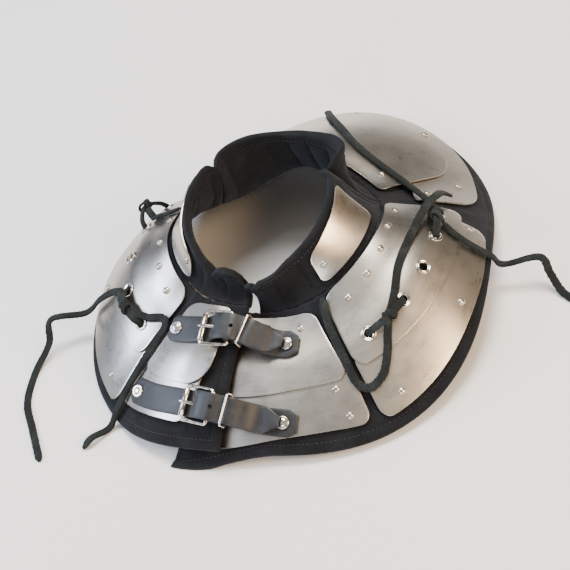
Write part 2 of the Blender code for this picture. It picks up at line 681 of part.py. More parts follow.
# Heights above what lies under the straps, at the buckle
LOOP_RADIUS = BUCKLE_WIRE_RADIUS + 3 * GAP + STRAP_THICKNESS / 2.0
HEEL_HEIGHT = STRAP_THICKNESS / 2.0 + LOOP_RADIUS
ROLLER_RADIUS = BUCKLE_WIRE_RADIUS + GAP + ROLLER_WALL
ROLLER_HEIGHT = STRAP_THICKNESS + GAP + ROLLER_RADIUS


def prong_height(along):
    """Height of the prong's middle at a distance from the roller."""
    start = ROLLER_HEIGHT + ROLLER_RADIUS + GAP + PRONG_RADIUS
    end = HEEL_HEIGHT + BUCKLE_WIRE_RADIUS + GAP + PRONG_RADIUS
    return start + (end - start) * along / BUCKLE_LENGTH


def long_strap_path(fastening):
    """Distances along and heights of the middle of the strap that carries the holes."""
    flat = STRAP_THICKNESS / 2.0
    hole = HOLE_SHARE * BUCKLE_LENGTH
    over_prong = prong_height(1.5 * hole) + PRONG_RADIUS + flat + 2 * GAP
    over_loop = HEEL_HEIGHT + LOOP_RADIUS + STRAP_THICKNESS + 2 * GAP
    keeper = BUCKLE_LENGTH + KEEPER_REACH
    over_wire = 2 * KEEPER_RADIUS + 2 * STRAP_THICKNESS - flat + 4 * GAP
    step = keeper + 0.2 * STRAP_WIDTH
    on_strap = 2 * STRAP_THICKNESS - flat + 2 * GAP
    cap = -fastening["cap_left"]
    start = cap - 1.25 * CAP_RADIUS
    return (
        (start, flat + GAP), (start + 0.4 * CAP_RADIUS, flat + GAP),
        (cap, flat + GAP), (cap + CAP_RADIUS, flat + GAP),
        (0.6 * cap, flat + GAP), (0.4 * cap, flat), (0.2 * cap, flat), (-STRAP_EASE, flat),
        (STRAP_EASE, flat), (0.6 * hole, 0.5 * prong_height(hole)),
        (hole, prong_height(hole)), (1.5 * hole, over_prong),
        (BUCKLE_LENGTH, over_loop), (BUCKLE_LENGTH + 0.5 * FOLD_LENGTH, over_loop - 2 * GAP),
        (keeper - KEEPER_SPAN / 3.0, over_wire), (keeper + KEEPER_SPAN / 1.5, over_wire),
        (step + 0.25 * STEP_LENGTH, on_strap + 0.5 * STRAP_THICKNESS),
        (step + 0.5 * STEP_LENGTH, on_strap + 0.8 * STRAP_THICKNESS),
        (step + 0.75 * STEP_LENGTH, on_strap + 0.8 * STRAP_THICKNESS),
        (fastening["tip"] - STRAP_TIP, on_strap + CAP_RISE + 5 * GAP),
        (fastening["tip"], on_strap + CAP_RISE + 5 * GAP),
    )


def short_strap_path(fastening):
    """Distances along and heights of the strap that loops around the buckle's heel bar."""
    flat = STRAP_THICKNESS / 2.0
    keeper = BUCKLE_LENGTH + KEEPER_REACH
    over_wire = 2 * KEEPER_RADIUS + 2 * GAP + flat
    step = keeper + 0.2 * STRAP_WIDTH
    stations = [(BUCKLE_LENGTH + FOLD_LENGTH, flat), (BUCKLE_LENGTH + 0.4 * FOLD_LENGTH, flat)]
    for turn in range(-90, -271, -30):
        bend = math.radians(turn)
        stations.append((BUCKLE_LENGTH + LOOP_RADIUS * math.cos(bend),
                         HEEL_HEIGHT + LOOP_RADIUS * math.sin(bend)))
    stations += [
        (BUCKLE_LENGTH + 0.5 * FOLD_LENGTH, HEEL_HEIGHT + LOOP_RADIUS - 2 * GAP),
        (keeper - KEEPER_SPAN / 3.0, over_wire), (keeper + KEEPER_SPAN / 1.5, over_wire),
        (step + 0.25 * STEP_LENGTH, flat + 2 * GAP), (step + 0.5 * STEP_LENGTH, flat + GAP),
        (step + 0.75 * STEP_LENGTH, flat + 2 * GAP), (step + STEP_LENGTH, flat),
        (fastening["right"] - STRAP_CLIP, flat), (fastening["right"], flat),
    ]
    return stations


def build_strap(name, fastening, stations, taper):
    """Leather strap; the taper gives its width at the first, second last and last station."""
    along = np.array([station[0] for station in stations])
    heights = np.array([station[1] + strap_ground(fastening, station[0]) for station in stations])
    tangents = np.gradient(np.stack([along, heights], axis=1), axis=0)
    tangents /= np.linalg.norm(tangents, axis=1)[:, None]
    widths = [taper[0]] + [1.0] * (len(stations) - 3) + list(taper[1:])
    top, bottom = [], []
    for distance, height, tangent, width in zip(along, heights, tangents, widths):
        offset = STRAP_THICKNESS / 2.0 * np.array((-tangent[1], tangent[0]))
        edges = [half * width * STRAP_WIDTH / 2.0 for half in (-1.0, 0.0, 1.0)]
        top.append([strap_place(fastening, distance + offset[0], edge, height + offset[1])
                    for edge in edges])
        bottom.append([strap_place(fastening, distance - offset[0], edge, height - offset[1])
                       for edge in edges])
    return shell(name, top, bottom, "leather")


def round_outline(radius, steps):
    points = [(radius * math.cos(2 * math.pi * k / steps), radius * math.sin(2 * math.pi * k / steps))
              for k in range(steps)]
    return lambda index: points


def wire(name, points, radius, matrix, closed, steps=8):
    """Round wire through points of a local frame."""
    points = [np.array(point) for point in points]
    count = len(points)
    centres, sides, ups = [], [], []
    side = None
    for index, point in enumerate(points):
        before = points[index - 1] if closed or index > 0 else point
        after = points[(index + 1) % count] if closed or index < count - 1 else point
        tangent = (after - before) / np.linalg.norm(after - before)
        guess = np.array((0.0, 0.0, 1.0)) if side is None else side
        if abs(tangent @ guess) > 0.95:
            guess = np.array((1.0, 0.0, 0.0))
        side = guess - tangent * (tangent @ guess)
        side /= np.linalg.norm(side)
        centres.append(matrix @ Vector(point))
        sides.append(matrix.to_3x3() @ Vector(side))
        ups.append(matrix.to_3x3() @ Vector(np.cross(tangent, side)))
    return swept(name, centres, sides, ups, round_outline(radius, steps), "nickel", closed)


def rounded_loop(half_x, half_y, corner, start_x):
    """Closed path of a rectangle with round corners in the XY plane."""
    points = []
    for sign_x, sign_y, first in ((1, 1, 0), (-1, 1, 90), (-1, -1, 180), (1, -1, 270)):
        centre_x = start_x + sign_x * (half_x - corner)
        centre_y = sign_y * (half_y - corner)
        for turn in (0, 30, 60, 90):
            bend = math.radians(first + turn)
            points.append((centre_x + corner * math.cos(bend), centre_y + corner * math.sin(bend), 0.0))
    return points


def buckle_matrix(fastening):
    """Frame with its origin on the heel bar, X towards the roller and Z off the strap."""
    heel_ground = strap_ground(fastening, BUCKLE_LENGTH)
    heel = strap_place(fastening, BUCKLE_LENGTH, 0.0, heel_ground + HEEL_HEIGHT)
    roller = strap_place(fastening, 0.0, 0.0, strap_ground(fastening, 0.0) + ROLLER_HEIGHT)
    aside = strap_place(fastening, BUCKLE_LENGTH, STRAP_WIDTH / 2.0, heel_ground + HEEL_HEIGHT) - heel
    up = np.cross(aside, roller - heel)
    if up[2] < 0.0:
        up = -up
    return frame_at(heel, roller - heel, up), float(np.linalg.norm(roller - heel))


def build_buckle(level, fastening):
    """Wire frame, roller and prong; the prong rises through the strap and lies on the roller."""
    matrix, length = buckle_matrix(fastening)
    half_width = STRAP_WIDTH / 2.0 + 4 * GAP + BUCKLE_WIRE_RADIUS
    corner = 1.4 * BUCKLE_WIRE_RADIUS
    loop = rounded_loop(length / 2.0, half_width, corner, length / 2.0)
    wire(f"buckle_{level}_frame", loop, BUCKLE_WIRE_RADIUS, matrix, True)
    inner = BUCKLE_WIRE_RADIUS + GAP
    half_roller = half_width - corner - 2 * GAP
    axis = matrix @ Matrix.Translation((length, 0.0, 0.0)) @ Matrix.Rotation(math.radians(90.0), 4, "X")
    profile = ((inner, -half_roller), (ROLLER_RADIUS, -half_roller),
               (ROLLER_RADIUS, half_roller), (inner, half_roller))
    turned(f"buckle_{level}_roller", profile, 12, axis, "nickel")
    ring = BUCKLE_WIRE_RADIUS + GAP + PRONG_RADIUS
    rest = ROLLER_RADIUS + GAP + PRONG_RADIUS
    path = [(ring * math.cos(math.radians(turn)), 0.0, ring * math.sin(math.radians(turn)))
            for turn in (-60, -100, -140, -180, -220, -260, -275)]
    path += [(0.5 * length, 0.0, (ring + rest) / 2.0), (length, 0.0, rest),
             (length + ROLLER_RADIUS, 0.0, rest)]
    wire(f"buckle_{level}_prong", path, PRONG_RADIUS, matrix, False, 6)


def build_keeper(level, fastening):
    """Wire loop around both straps beyond the heel bar."""
    along = BUCKLE_LENGTH + KEEPER_REACH + KEEPER_SPAN / 6.0
    ground = strap_ground(fastening, along)
    low = KEEPER_RADIUS + GAP
    high = low + 2 * KEEPER_RADIUS + 2 * STRAP_THICKNESS + 8 * GAP
    half = STRAP_WIDTH / 2.0 + 2 * GAP + KEEPER_RADIUS
    bend = 1.5 * KEEPER_RADIUS
    path = []
    for across, height in ((-half, low + bend), (-half, high - bend), (bend - half, high), (0.0, high),
                           (half - bend, high), (half, high - bend), (half, low + bend),
                           (half - bend, low), (0.0, low), (bend - half, low)):
        path.append(strap_place(fastening, along, across, ground + height))
    return wire(f"keeper_{level}", path, KEEPER_RADIUS, Matrix.Identity(4), True, 6)


def build_cap(name, fastening, along):
    """Capped rivet that holds a strap end on its plate."""
    height = strap_ground(fastening, along) + STRAP_THICKNESS + (6 * GAP if along < 0.0 else 3 * GAP)
    middle = strap_place(fastening, along, 0.0, height)
    side = strap_place(fastening, along + CAP_RADIUS / 4.0, 0.0, height) - middle
    lean = strap_place(fastening, along, CAP_RADIUS / 4.0, height) - middle
    matrix = frame_at(middle, side, np.cross(lean, side))
    profile = ((0.0, 0.0), (CAP_RADIUS, 0.0), (CAP_RADIUS, 0.35 * CAP_RISE),
               (0.7 * CAP_RADIUS, 0.85 * CAP_RISE), (0.0, CAP_RISE))
    turned(name, profile, 12, matrix, "nickel")


def cut_strap_hole(item, fastening):
    """Hole that the prong has drawn slanting through the long strap."""
    ends = []
    for share in (0.4, 1.65):
        along = share * HOLE_SHARE * BUCKLE_LENGTH
        height = prong_height(along) + strap_ground(fastening, along)
        ends.append(Vector(strap_place(fastening, along, 0.0, height)))
    axis = (ends[1] - ends[0]).to_track_quat("Z", "Y").to_matrix().to_4x4()
    axis.translation = ends[0]
    deep = (ends[1] - ends[0]).length
    radius = PRONG_RADIUS + 4 * GAP
    profile = ((0.0, 0.0), (radius, 0.0), (radius, deep), (0.0, deep))
    cut_or_join(item, turned("hole", profile, 10, axis, "leather"), "DIFFERENCE")


def build_fastening(level):
    fastening = FASTENINGS[level]
    path = long_strap_path(fastening)
    long_strap = build_strap(f"strap_{level}_long", fastening, path, (0.7, 0.9, 0.4))
    cut_strap_hole(long_strap, fastening)
    path = short_strap_path(fastening)
    short_strap = build_strap(f"strap_{level}_buckle", fastening, path, (1.0, 1.0, 0.65))
    matrix, _ = buckle_matrix(fastening)
    data = bmesh.new()
    bmesh.ops.create_cube(data, size=1.0)
    half = PRONG_RADIUS + 2 * GAP
    slot = Matrix.Diagonal((4 * LOOP_RADIUS, 2 * half, 4.6 * LOOP_RADIUS, 1.0))
    data.transform(matrix @ Matrix.Translation((0.6 * LOOP_RADIUS, 0.0, 0.0)) @ slot)
    cut_or_join(short_strap, add_object("slot", data, "leather"), "DIFFERENCE")
    build_buckle(level, fastening)
    build_keeper(level, fastening)
    build_cap(f"strap_rivet_{level}_left", fastening, -fastening["cap_left"])
    build_cap(f"strap_rivet_{level}_right", fastening, fastening["cap_right"])


def lace_place(row):
    """Point of a lace: on the armour, or on the surface that the armour stands on."""
    angle, share, height = row
    point = place(angle, share, height + flap_lift(angle))
    if share > FLOOR_SHARE:
        point[2] = height
    return point


def build_lace_knot(name, rows):
    """Strand that rises from one eyelet, knots and dips into the next."""
    centres = smooth_route([lace_place(row) for row in rows], KNOT_STEP)
    count = len(centres)
    tangents = np.gradient(centres, axis=0)
    sides, ups = [], []
    middle = rows[len(rows) // 2]
    lean = place(middle[0], middle[1] + 0.01, 0.0) - place(middle[0], middle[1], 0.0)
    for tangent in tangents:
        side = lean - tangent * (lean @ tangent) / (tangent @ tangent)
        side /= np.linalg.norm(side)
        sides.append(side)
        ups.append(np.cross(tangent, side) / np.linalg.norm(tangent))

    def outline(index):
        swell = 1.0 + KNOT_SWELL * math.sin(math.pi * min(max((index - 3) / (count - 7), 0.0), 1.0)) ** 2
        half_width, half_height = LACE_WIDTH / 2.0 * swell, LACE_THICKNESS / 2.0 * swell
        return [(half_width * math.cos(turn), half_height * math.sin(turn))
                for turn in np.linspace(0.0, 2 * math.pi, 8, endpoint=False)]

    swept(f"{name}_knot", centres, sides, ups, outline, "suede")


def build_lace_tail(name, rows):
    """Free lace end as a curve with a round bevel and filled caps."""
    points = smooth_route([lace_place(row) for row in rows], LACE_STEP)
    curve = bpy.data.curves.new(name, "CURVE")
    curve.dimensions = "3D"
    curve.bevel_depth = LACE_DIAMETER / 2.0
    curve.bevel_resolution = 2
    curve.use_fill_caps = True
    curve.resolution_u = 1
    spline = curve.splines.new("POLY")
    spline.points.add(len(points) - 1)
    for target, point in zip(spline.points, points):
        target.co = (*point, 1.0)
    curve.materials.append(finish("suede"))
    bpy.context.scene.collection.objects.link(bpy.data.objects.new(name, curve))


def build():
    clear_scene()
    build_yoke()
    build_collar()
    build_plates()
    for level in FASTENINGS:
        build_fastening(level)
    for name, rows in LACE_KNOTS.items():
        build_lace_knot(name, rows)
    for name, rows in LACE_TAILS.items():
        build_lace_tail(name, rows)


build()
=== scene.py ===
# %% [markdown]
# # A steel gorget over a quilted yoke
# The real thing is a soft garment that carries armour. A padded cotton yoke and a standing
# collar sit on the shoulders, satin steel plates are riveted to them in two courses, leather
# straps and roller buckles close the back, and suede laces hang from eyelets on both shoulders.
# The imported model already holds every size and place, so this lesson only dresses it.

# %% Load the frame
import math

import bmesh
import bpy
import numpy as np
from mathutils import Matrix, Vector, noise


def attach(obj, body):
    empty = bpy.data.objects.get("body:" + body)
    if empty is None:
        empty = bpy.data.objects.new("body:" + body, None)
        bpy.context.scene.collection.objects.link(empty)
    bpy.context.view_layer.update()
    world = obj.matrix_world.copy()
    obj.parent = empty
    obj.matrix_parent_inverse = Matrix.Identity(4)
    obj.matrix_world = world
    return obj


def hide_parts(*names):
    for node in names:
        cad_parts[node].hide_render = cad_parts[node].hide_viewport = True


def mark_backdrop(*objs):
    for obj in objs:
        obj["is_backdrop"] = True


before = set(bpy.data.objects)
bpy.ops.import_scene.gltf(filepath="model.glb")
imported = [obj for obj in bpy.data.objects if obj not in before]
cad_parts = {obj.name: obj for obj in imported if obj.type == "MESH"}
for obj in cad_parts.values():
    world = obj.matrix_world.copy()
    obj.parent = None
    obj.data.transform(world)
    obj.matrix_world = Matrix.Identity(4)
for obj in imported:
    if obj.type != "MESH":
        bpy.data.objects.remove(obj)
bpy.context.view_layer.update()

# %% [markdown]
# ## Colours and nodes
# Paint charts and photographs give colours as sRGB hex. Blender's shaders want linear light,
# so one function converts them, and one more adds a node with its settings and its links.

# %% Colour and node helpers
def linear(code):
    values = [int(code[place:place + 2], 16) / 255.0 for place in (1, 3, 5)]
    channels = [v / 12.92 if v <= 0.04045 else ((v + 0.055) / 1.055) ** 2.4 for v in values]
    return (*channels, 1.0)


def add_node(tree, kind, settings=None, inputs=None, links=None):
    node = tree.nodes.new(kind)
    for name, value in (settings or {}).items():
        setattr(node, name, value)
    for name, value in (inputs or {}).items():
        node.inputs[name].default_value = value
    for name, source in (links or {}).items():
        tree.links.new(source, node.inputs[name])
    return node


def new_material(name, inputs):
    material = bpy.data.materials.new(name)
    material.use_nodes = True
    tree = material.node_tree
    shader = tree.nodes["Principled BSDF"]
    for key, value in inputs.items():
        shader.inputs[key].default_value = value
    return material, tree, shader


def ramp(tree, source, stops):
    node = add_node(tree, "ShaderNodeValToRGB", links={"Fac": source})
    elements = node.color_ramp.elements
    while len(elements) < len(stops):
        elements.new(0.5)
    for element, (position, colour) in zip(elements, stops):
        element.position = position
        element.color = colour
    return node.outputs["Color"]


MULTIPLY = {"data_type": "RGBA", "blend_type": "MULTIPLY"}


def grey(value):
    return (value, value, value, 1.0)


# %% [markdown]
# ## The surface that everything follows
# Yoke and collar are one turned form whose neck, hem and rim change around the body. A short
# table gives them as shares of a few real sizes, and a Fourier-like sum joins its rows into a
# smooth ring. Plates, straps and laces then only need an angle, a share of the slope and a
# height above the padding. These are the construction's own functions, on whole arrays at once.

# %% Sizes of the padding
NECK_RADIUS = 0.095
HEM_RADIUS = 0.210
SLOPE_RISE = 0.068
COLLAR_HEIGHT = 0.042
RIM_RADIUS = 0.078
SLOPE_CROWN = 0.0063
COLLAR_LEAN = -0.008
RACK = 0.12
YOKE_THICKNESS = 0.0072
COLLAR_THICKNESS = 0.010
HEM_PRESS = 0.003
FLAP_LIFT = 0.0125
FLAP_DROOP = 0.14
FLAP_DROOP_ANGLE = 28.0
LOWER_FLAP_END = -105.0
UPPER_FLAP_END = 269.0
FLAP_LIFT_START = 225.0
FLAP_LIFT_END = 254.0
PINCH_ANGLES = (25.0, 155.0)
COLLAR_ENDS = (-88.5, 268.5)
STATION_COLUMNS = ("angle", "neck_radius", "neck_rise", "hem_radius", "hem_rise", "collar", "rim_radius")
STATIONS = np.array((
    (-90.0, 0.97, 0.77, 1.02, 0.04, 0.85, 1.06),
    (-45.0, 1.08, 1.00, 1.07, -0.07, 0.83, 1.05),
    (0.0, 1.07, 1.18, 0.92, 0.26, 0.92, 0.94),
    (45.0, 0.92, 0.88, 0.95, -0.09, 1.50, 0.96),
    (90.0, 0.86, 1.15, 1.00, 0.19, 1.02, 0.95),
))
STATION_SIZES = np.array((NECK_RADIUS, SLOPE_RISE, HEM_RADIUS, SLOPE_RISE, COLLAR_HEIGHT, RIM_RADIUS))


# %% Surface functions
def smooth_step(value):
    value = np.clip(value, 0.0, 1.0)
    return value * value * (3.0 - 2.0 * value)


def ring_terms(angle):
    turn = np.radians(np.asarray(angle, float))
    waves = (np.sin(turn), np.cos(2 * turn), np.sin(3 * turn), np.cos(4 * turn))
    return np.stack((np.ones_like(turn), *waves), -1)


STATION_WEIGHTS = np.linalg.solve(ring_terms(STATIONS[:, 0]), STATIONS[:, 1:])


def section(angle):
    """Neck radius and height, hem radius and height, rim radius and height."""
    sizes = (ring_terms(angle) @ STATION_WEIGHTS) * STATION_SIZES
    neck_radius, neck_height, hem_radius, hem_height, collar, rim_radius = np.moveaxis(sizes, -1, 0)
    return neck_radius, neck_height, hem_radius, hem_height, rim_radius, neck_height + collar


def profile(angle, share):
    """Radius and height of the skin: the slope for shares from 0, the collar below 0."""
    neck_radius, neck_height, hem_radius, hem_height, rim_radius, rim_height = section(angle)
    run = hem_radius - neck_radius
    radius = neck_radius + share * run
    height = neck_height + share * (hem_height - neck_height) + 4.0 * SLOPE_CROWN * share * (1.0 - share)
    fall = neck_height - hem_height - 4.0 * SLOPE_CROWN
    steep = np.hypot(run, fall)
    reach = np.hypot(rim_radius - neck_radius, rim_height - neck_height)
    radii = (neck_radius, neck_radius - 0.24 * reach * run / steep, rim_radius, rim_radius)
    heights = (neck_height, neck_height + 0.24 * reach * fall / steep,
               rim_height - 0.18 * reach, rim_height)
    rise = np.clip(-share, 0.0, None)
    keep = 1.0 - rise
    terms = (keep ** 3, 3 * keep * keep * rise, 3 * keep * rise * rise, rise ** 3)
    collar_radius = sum(term * value for term, value in zip(terms, radii))
    collar_height = sum(term * value for term, value in zip(terms, heights))
    on_collar = share < 0.0
    return np.where(on_collar, collar_radius, radius), np.where(on_collar, collar_height, height)


def raw_skin(angle, share):
    angle, share = np.broadcast_arrays(np.asarray(angle, float), np.asarray(share, float))
    radius, height = profile(angle, share)
    turn = np.radians(angle)
    x = radius * np.cos(turn) + COLLAR_LEAN * np.clip(-share, 0.0, None) ** 2
    y = radius * np.sin(turn)
    return np.stack([x, y, height - RACK * x * y], -1)


def skin_normal(angle, share):
    along = raw_skin(angle, np.asarray(share) + 0.004) - raw_skin(angle, np.asarray(share) - 0.004)
    around = raw_skin(np.asarray(angle) + 0.25, share) - raw_skin(np.asarray(angle) - 0.25, share)
    normal = np.cross(along, around)
    return normal / np.linalg.norm(normal, axis=-1, keepdims=True)


def hem_share(angle):
    corner = 1.0 - (np.asarray(angle, float) - LOWER_FLAP_END) / FLAP_DROOP_ANGLE
    return 1.0 + FLAP_DROOP * smooth_step(corner)


def flap_lift(angle):
    start, end = FLAP_LIFT_START, FLAP_LIFT_END
    return FLAP_LIFT * smooth_step((np.asarray(angle, float) - start) / (end - start))


def set_down_shift():
    turns = np.arange(LOWER_FLAP_END, UPPER_FLAP_END + 0.5, 1.0)
    shares = hem_share(turns)
    top = raw_skin(turns, shares)
    corners = np.concatenate([top, top - YOKE_THICKNESS * skin_normal(turns, shares)])
    hem = raw_skin(turns, 1.0) - YOKE_THICKNESS * skin_normal(turns, 1.0)
    middle = (corners.min(0) + corners.max(0)) / 2.0
    return np.array((-middle[0], -middle[1], -hem[:, 2].min() - HEM_PRESS))


SHIFT = set_down_shift()


def place(angle, share, height=0.0):
    """Points at a height above the padding's skin."""
    height = np.asarray(height, float)[..., None]
    return raw_skin(angle, share) + SHIFT + height * skin_normal(angle, share)


def follow(rows, column, angle):
    """Smooth value of one column of a table whose first column is the angle."""
    table = np.array(rows, float)
    angles, values = table[:, 0], table[:, column]
    slopes = np.gradient(values, angles)
    angle = np.asarray(angle, float)
    index = np.clip(np.searchsorted(angles, angle) - 1, 0, len(angles) - 2)
    width = angles[index + 1] - angles[index]
    part = np.clip((angle - angles[index]) / width, 0.0, 1.0)
    rest = 1.0 - part
    value = values[index] * rest * rest * (1 + 2 * part) + values[index + 1] * part * part * (1 + 2 * rest)
    value = value + width * part * rest * (slopes[index] * rest - slopes[index + 1] * part)
    value = value + slopes[-1] * np.clip(angle - angles[-1], 0.0, None)
    return value + slopes[0] * np.clip(angle - angles[0], None, 0.0)


def ease(rows, angle):
    """Smooth value between a table's rows that never swings past them."""
    angles, values = np.array(rows, float).T
    steps = np.diff(values) / np.diff(angles)
    before, after = steps[:-1], steps[1:]
    total = np.where(before + after == 0.0, 1.0, before + after)
    both = np.where(before * after > 0.0, 2.0 * before * after / total, 0.0)
    slopes = np.concatenate([[steps[0]], both, [steps[-1]]])
    angle = np.clip(np.asarray(angle, float), angles[0], angles[-1])
    index = np.clip(np.searchsorted(angles, angle) - 1, 0, len(angles) - 2)
    width = angles[index + 1] - angles[index]
    part = (angle - angles[index]) / width
    rest = 1.0 - part
    value = values[index] * rest * rest * (1 + 2 * part) + values[index + 1] * part * part * (1 + 2 * rest)
    return value + width * part * rest * (slopes[index] * rest - slopes[index + 1] * part)


def smooth_route(points, spacing):
    """Evenly spaced rows on a Catmull-Rom curve; the first three columns are the place."""
    points = np.array(points, float)
    ends = np.concatenate([[2 * points[0] - points[1]], points, [2 * points[-1] - points[-2]]])
    fine = []
    for index in range(1, len(ends) - 2):
        before, start, end, after = ends[index - 1:index + 3]
        for part in np.linspace(0.0, 1.0, 24, endpoint=False):
            bend = 2 * before - 5 * start + 4 * end - after
            twist = -before + 3 * start - 3 * end + after
            fine.append(start + 0.5 * (part * (end - before) + part ** 2 * bend + part ** 3 * twist))
    fine = np.array(fine + [points[-1]])
    lengths = np.concatenate([[0.0], np.cumsum(np.linalg.norm(np.diff(fine[:, :3], axis=0), axis=1))])
    count = max(int(round(lengths[-1] / spacing)), 2)
    marks = np.linspace(0.0, lengths[-1], count + 1)
    return np.stack([np.interp(marks, lengths, column) for column in fine.T], axis=1)


print("stations of", STATION_COLUMNS, "shift in mm", (SHIFT * 1000).round(2))

# %% [markdown]
# ## The camera
# The camera was matched to the photograph by fitting its angles and distance to the plates'
# outlines. It looks down over the right shoulder from behind, rolled by 24 degrees.
# The lens is long, about 95 to 115 mm, so near and far plates keep nearly the same scale.

# %% Camera
CAMERA_AZIMUTH = 36.31
CAMERA_ELEVATION = 43.07
CAMERA_ROLL = -24.31
CAMERA_AIM = Vector((0.0, 0.009, 0.060))
CAMERA_SLIDE = (-0.00332, -0.04151)
CAMERA_DISTANCE = 1.68372
FOCAL_PIXELS = 1800.0
FRAME_PIXELS = 570.0


def place_camera():
    azimuth, elevation, roll = (math.radians(v) for v in (CAMERA_AZIMUTH, CAMERA_ELEVATION, CAMERA_ROLL))
    back = Vector((math.sin(azimuth) * math.cos(elevation), -math.cos(azimuth) * math.cos(elevation),
                   math.sin(elevation)))
    level = Vector((math.cos(azimuth), math.sin(azimuth), 0.0))
    rise = back.cross(level)
    right = math.cos(roll) * level + math.sin(roll) * rise
    up = -math.sin(roll) * level + math.cos(roll) * rise
    data = bpy.data.cameras.new("camera")
    data.sensor_width = 36.0
    data.lens = FOCAL_PIXELS / FRAME_PIXELS * data.sensor_width
    data.clip_end = 20.0
    camera = bpy.data.objects.new("camera", data)
    eye = CAMERA_AIM + CAMERA_SLIDE[0] * right + CAMERA_SLIDE[1] * up + CAMERA_DISTANCE * back
    turn = Matrix((right, up, back)).transposed().to_4x4()
    camera.matrix_world = Matrix.Translation(eye) @ turn
    bpy.context.scene.collection.objects.link(camera)
    bpy.context.scene.camera = camera
    return camera


camera = place_camera()
print("camera lens", round(camera.data.lens, 1), "at", [round(v, 3) for v in camera.location])


# %% [markdown]
# ## Mesh helpers
# Every piece here is a grid wrapped into a closed solid, or a ring swept along a path. Two
# small builders make them, with a UV map in metres so that a pattern can follow the surface.

# %% Grid and sweep builders
def finish_mesh(name, points, faces, uvs, material, smooth_angle=None):
    mesh = bpy.data.meshes.new(name)
    mesh.from_pydata([tuple(point) for point in points], [], faces)
    mesh.update()
    if uvs is not None:
        layer = mesh.uv_layers.new(name="surface")
        loops = np.zeros(len(mesh.loops), dtype=np.int32)
        mesh.loops.foreach_get("vertex_index", loops)
        layer.data.foreach_set("uv", np.asarray(uvs, np.float32)[loops].ravel())
    data = bmesh.new()
    data.from_mesh(mesh)
    bmesh.ops.recalc_face_normals(data, faces=data.faces)
    if data.calc_volume(signed=True) < 0.0:
        bmesh.ops.reverse_faces(data, faces=data.faces)
    data.to_mesh(mesh)
    data.free()
    mesh.shade_smooth()
    if smooth_angle is not None:
        mesh.set_sharp_from_angle(angle=math.radians(smooth_angle))
    mesh.materials.append(material)
    item = bpy.data.objects.new(name, mesh)
    bpy.context.scene.collection.objects.link(item)
    return item


def grid_solid(name, top, bottom, uvs, material, smooth_angle=None):
    """Closed solid between two grids of points with the same rows and columns."""
    rows, columns = top.shape[:2]
    count = rows * columns
    index = np.arange(count).reshape(rows, columns)
    quads = np.stack([index[:-1, :-1], index[1:, :-1], index[1:, 1:], index[:-1, 1:]], -1).reshape(-1, 4)
    faces = quads.tolist() + (quads[:, ::-1] + count).tolist()
    loop = list(index[0]) + list(index[1:, -1]) + list(index[-1, -2::-1]) + list(index[-2:0:-1, 0])
    for near, far in zip(loop, loop[1:] + loop[:1]):
        faces.append((int(near), int(far), int(far) + count, int(near) + count))
    points = np.concatenate([top.reshape(-1, 3), bottom.reshape(-1, 3)])
    both = np.concatenate([uvs.reshape(-1, 2), uvs.reshape(-1, 2)])
    return finish_mesh(name, points, faces, both, material, smooth_angle)


def swept_solid(name, centres, sides, ups, outline, material, closed=False, smooth_angle=None):
    """Closed solid of outline points (side, up), one set for each centre."""
    count, around = len(centres), len(outline(0))
    points, uvs, faces = [], [], []
    travelled = 0.0
    for ring, (centre, side, up) in enumerate(zip(centres, sides, ups)):
        if ring:
            travelled += float(np.linalg.norm(centre - centres[ring - 1]))
        for a, b in outline(ring):
            points.append(centre + a * side + b * up)
            uvs.append((travelled, a))
    for ring in range(count if closed else count - 1):
        near, far = ring * around, (ring + 1) % count * around
        for k in range(around):
            follower = (k + 1) % around
            faces.append((near + k, near + follower, far + follower, far + k))
    if not closed:
        faces.append(tuple(range(around)))
        faces.append(tuple(range((count - 1) * around, count * around)))
    return finish_mesh(name, points, faces, uvs, material, smooth_angle)


def turned_solid(name, outline, steps, material):
    """Closed solid of (radius, height) pairs turned around Z at the origin."""
    points, faces, rings = [], [], []
    for radius, height in outline:
        turns = range(steps if radius > 0.0 else 1)
        rings.append(range(len(points), len(points) + len(turns)))
        points += [(radius * math.cos(2 * math.pi * k / steps),
                    radius * math.sin(2 * math.pi * k / steps), height) for k in turns]
    if outline[0][0] > 0.0 and outline[-1][0] > 0.0:
        rings.append(rings[0])
    for near, far in zip(rings, rings[1:]):
        for k in range(steps):
            corners = [near[k % len(near)], near[(k + 1) % len(near)]]
            corners += [far[(k + 1) % len(far)], far[k % len(far)]]
            faces.append(tuple(dict.fromkeys(corners)))
    return finish_mesh(name, points, faces, None, material, 50.0)


def noise_field(points, scale, seed):
    """Smooth noise from -1 to 1 at each point; scale is in lumps per metre."""
    flat = points.reshape(-1, 3) * scale + seed
    values = [noise.noise(Vector(point)) for point in flat]
    return np.array(values).reshape(points.shape[:-1])


# %% [markdown]
# ## Satin steel
# The plates are cold-rolled mild steel, cut and dished with a mallet, then satin finished with a
# fine abrasive. That leaves a soft grey mirror: broad light and dark bands that bend over the
# dishing, a faint grain along the plate, and warm and cool patches where it has worn.

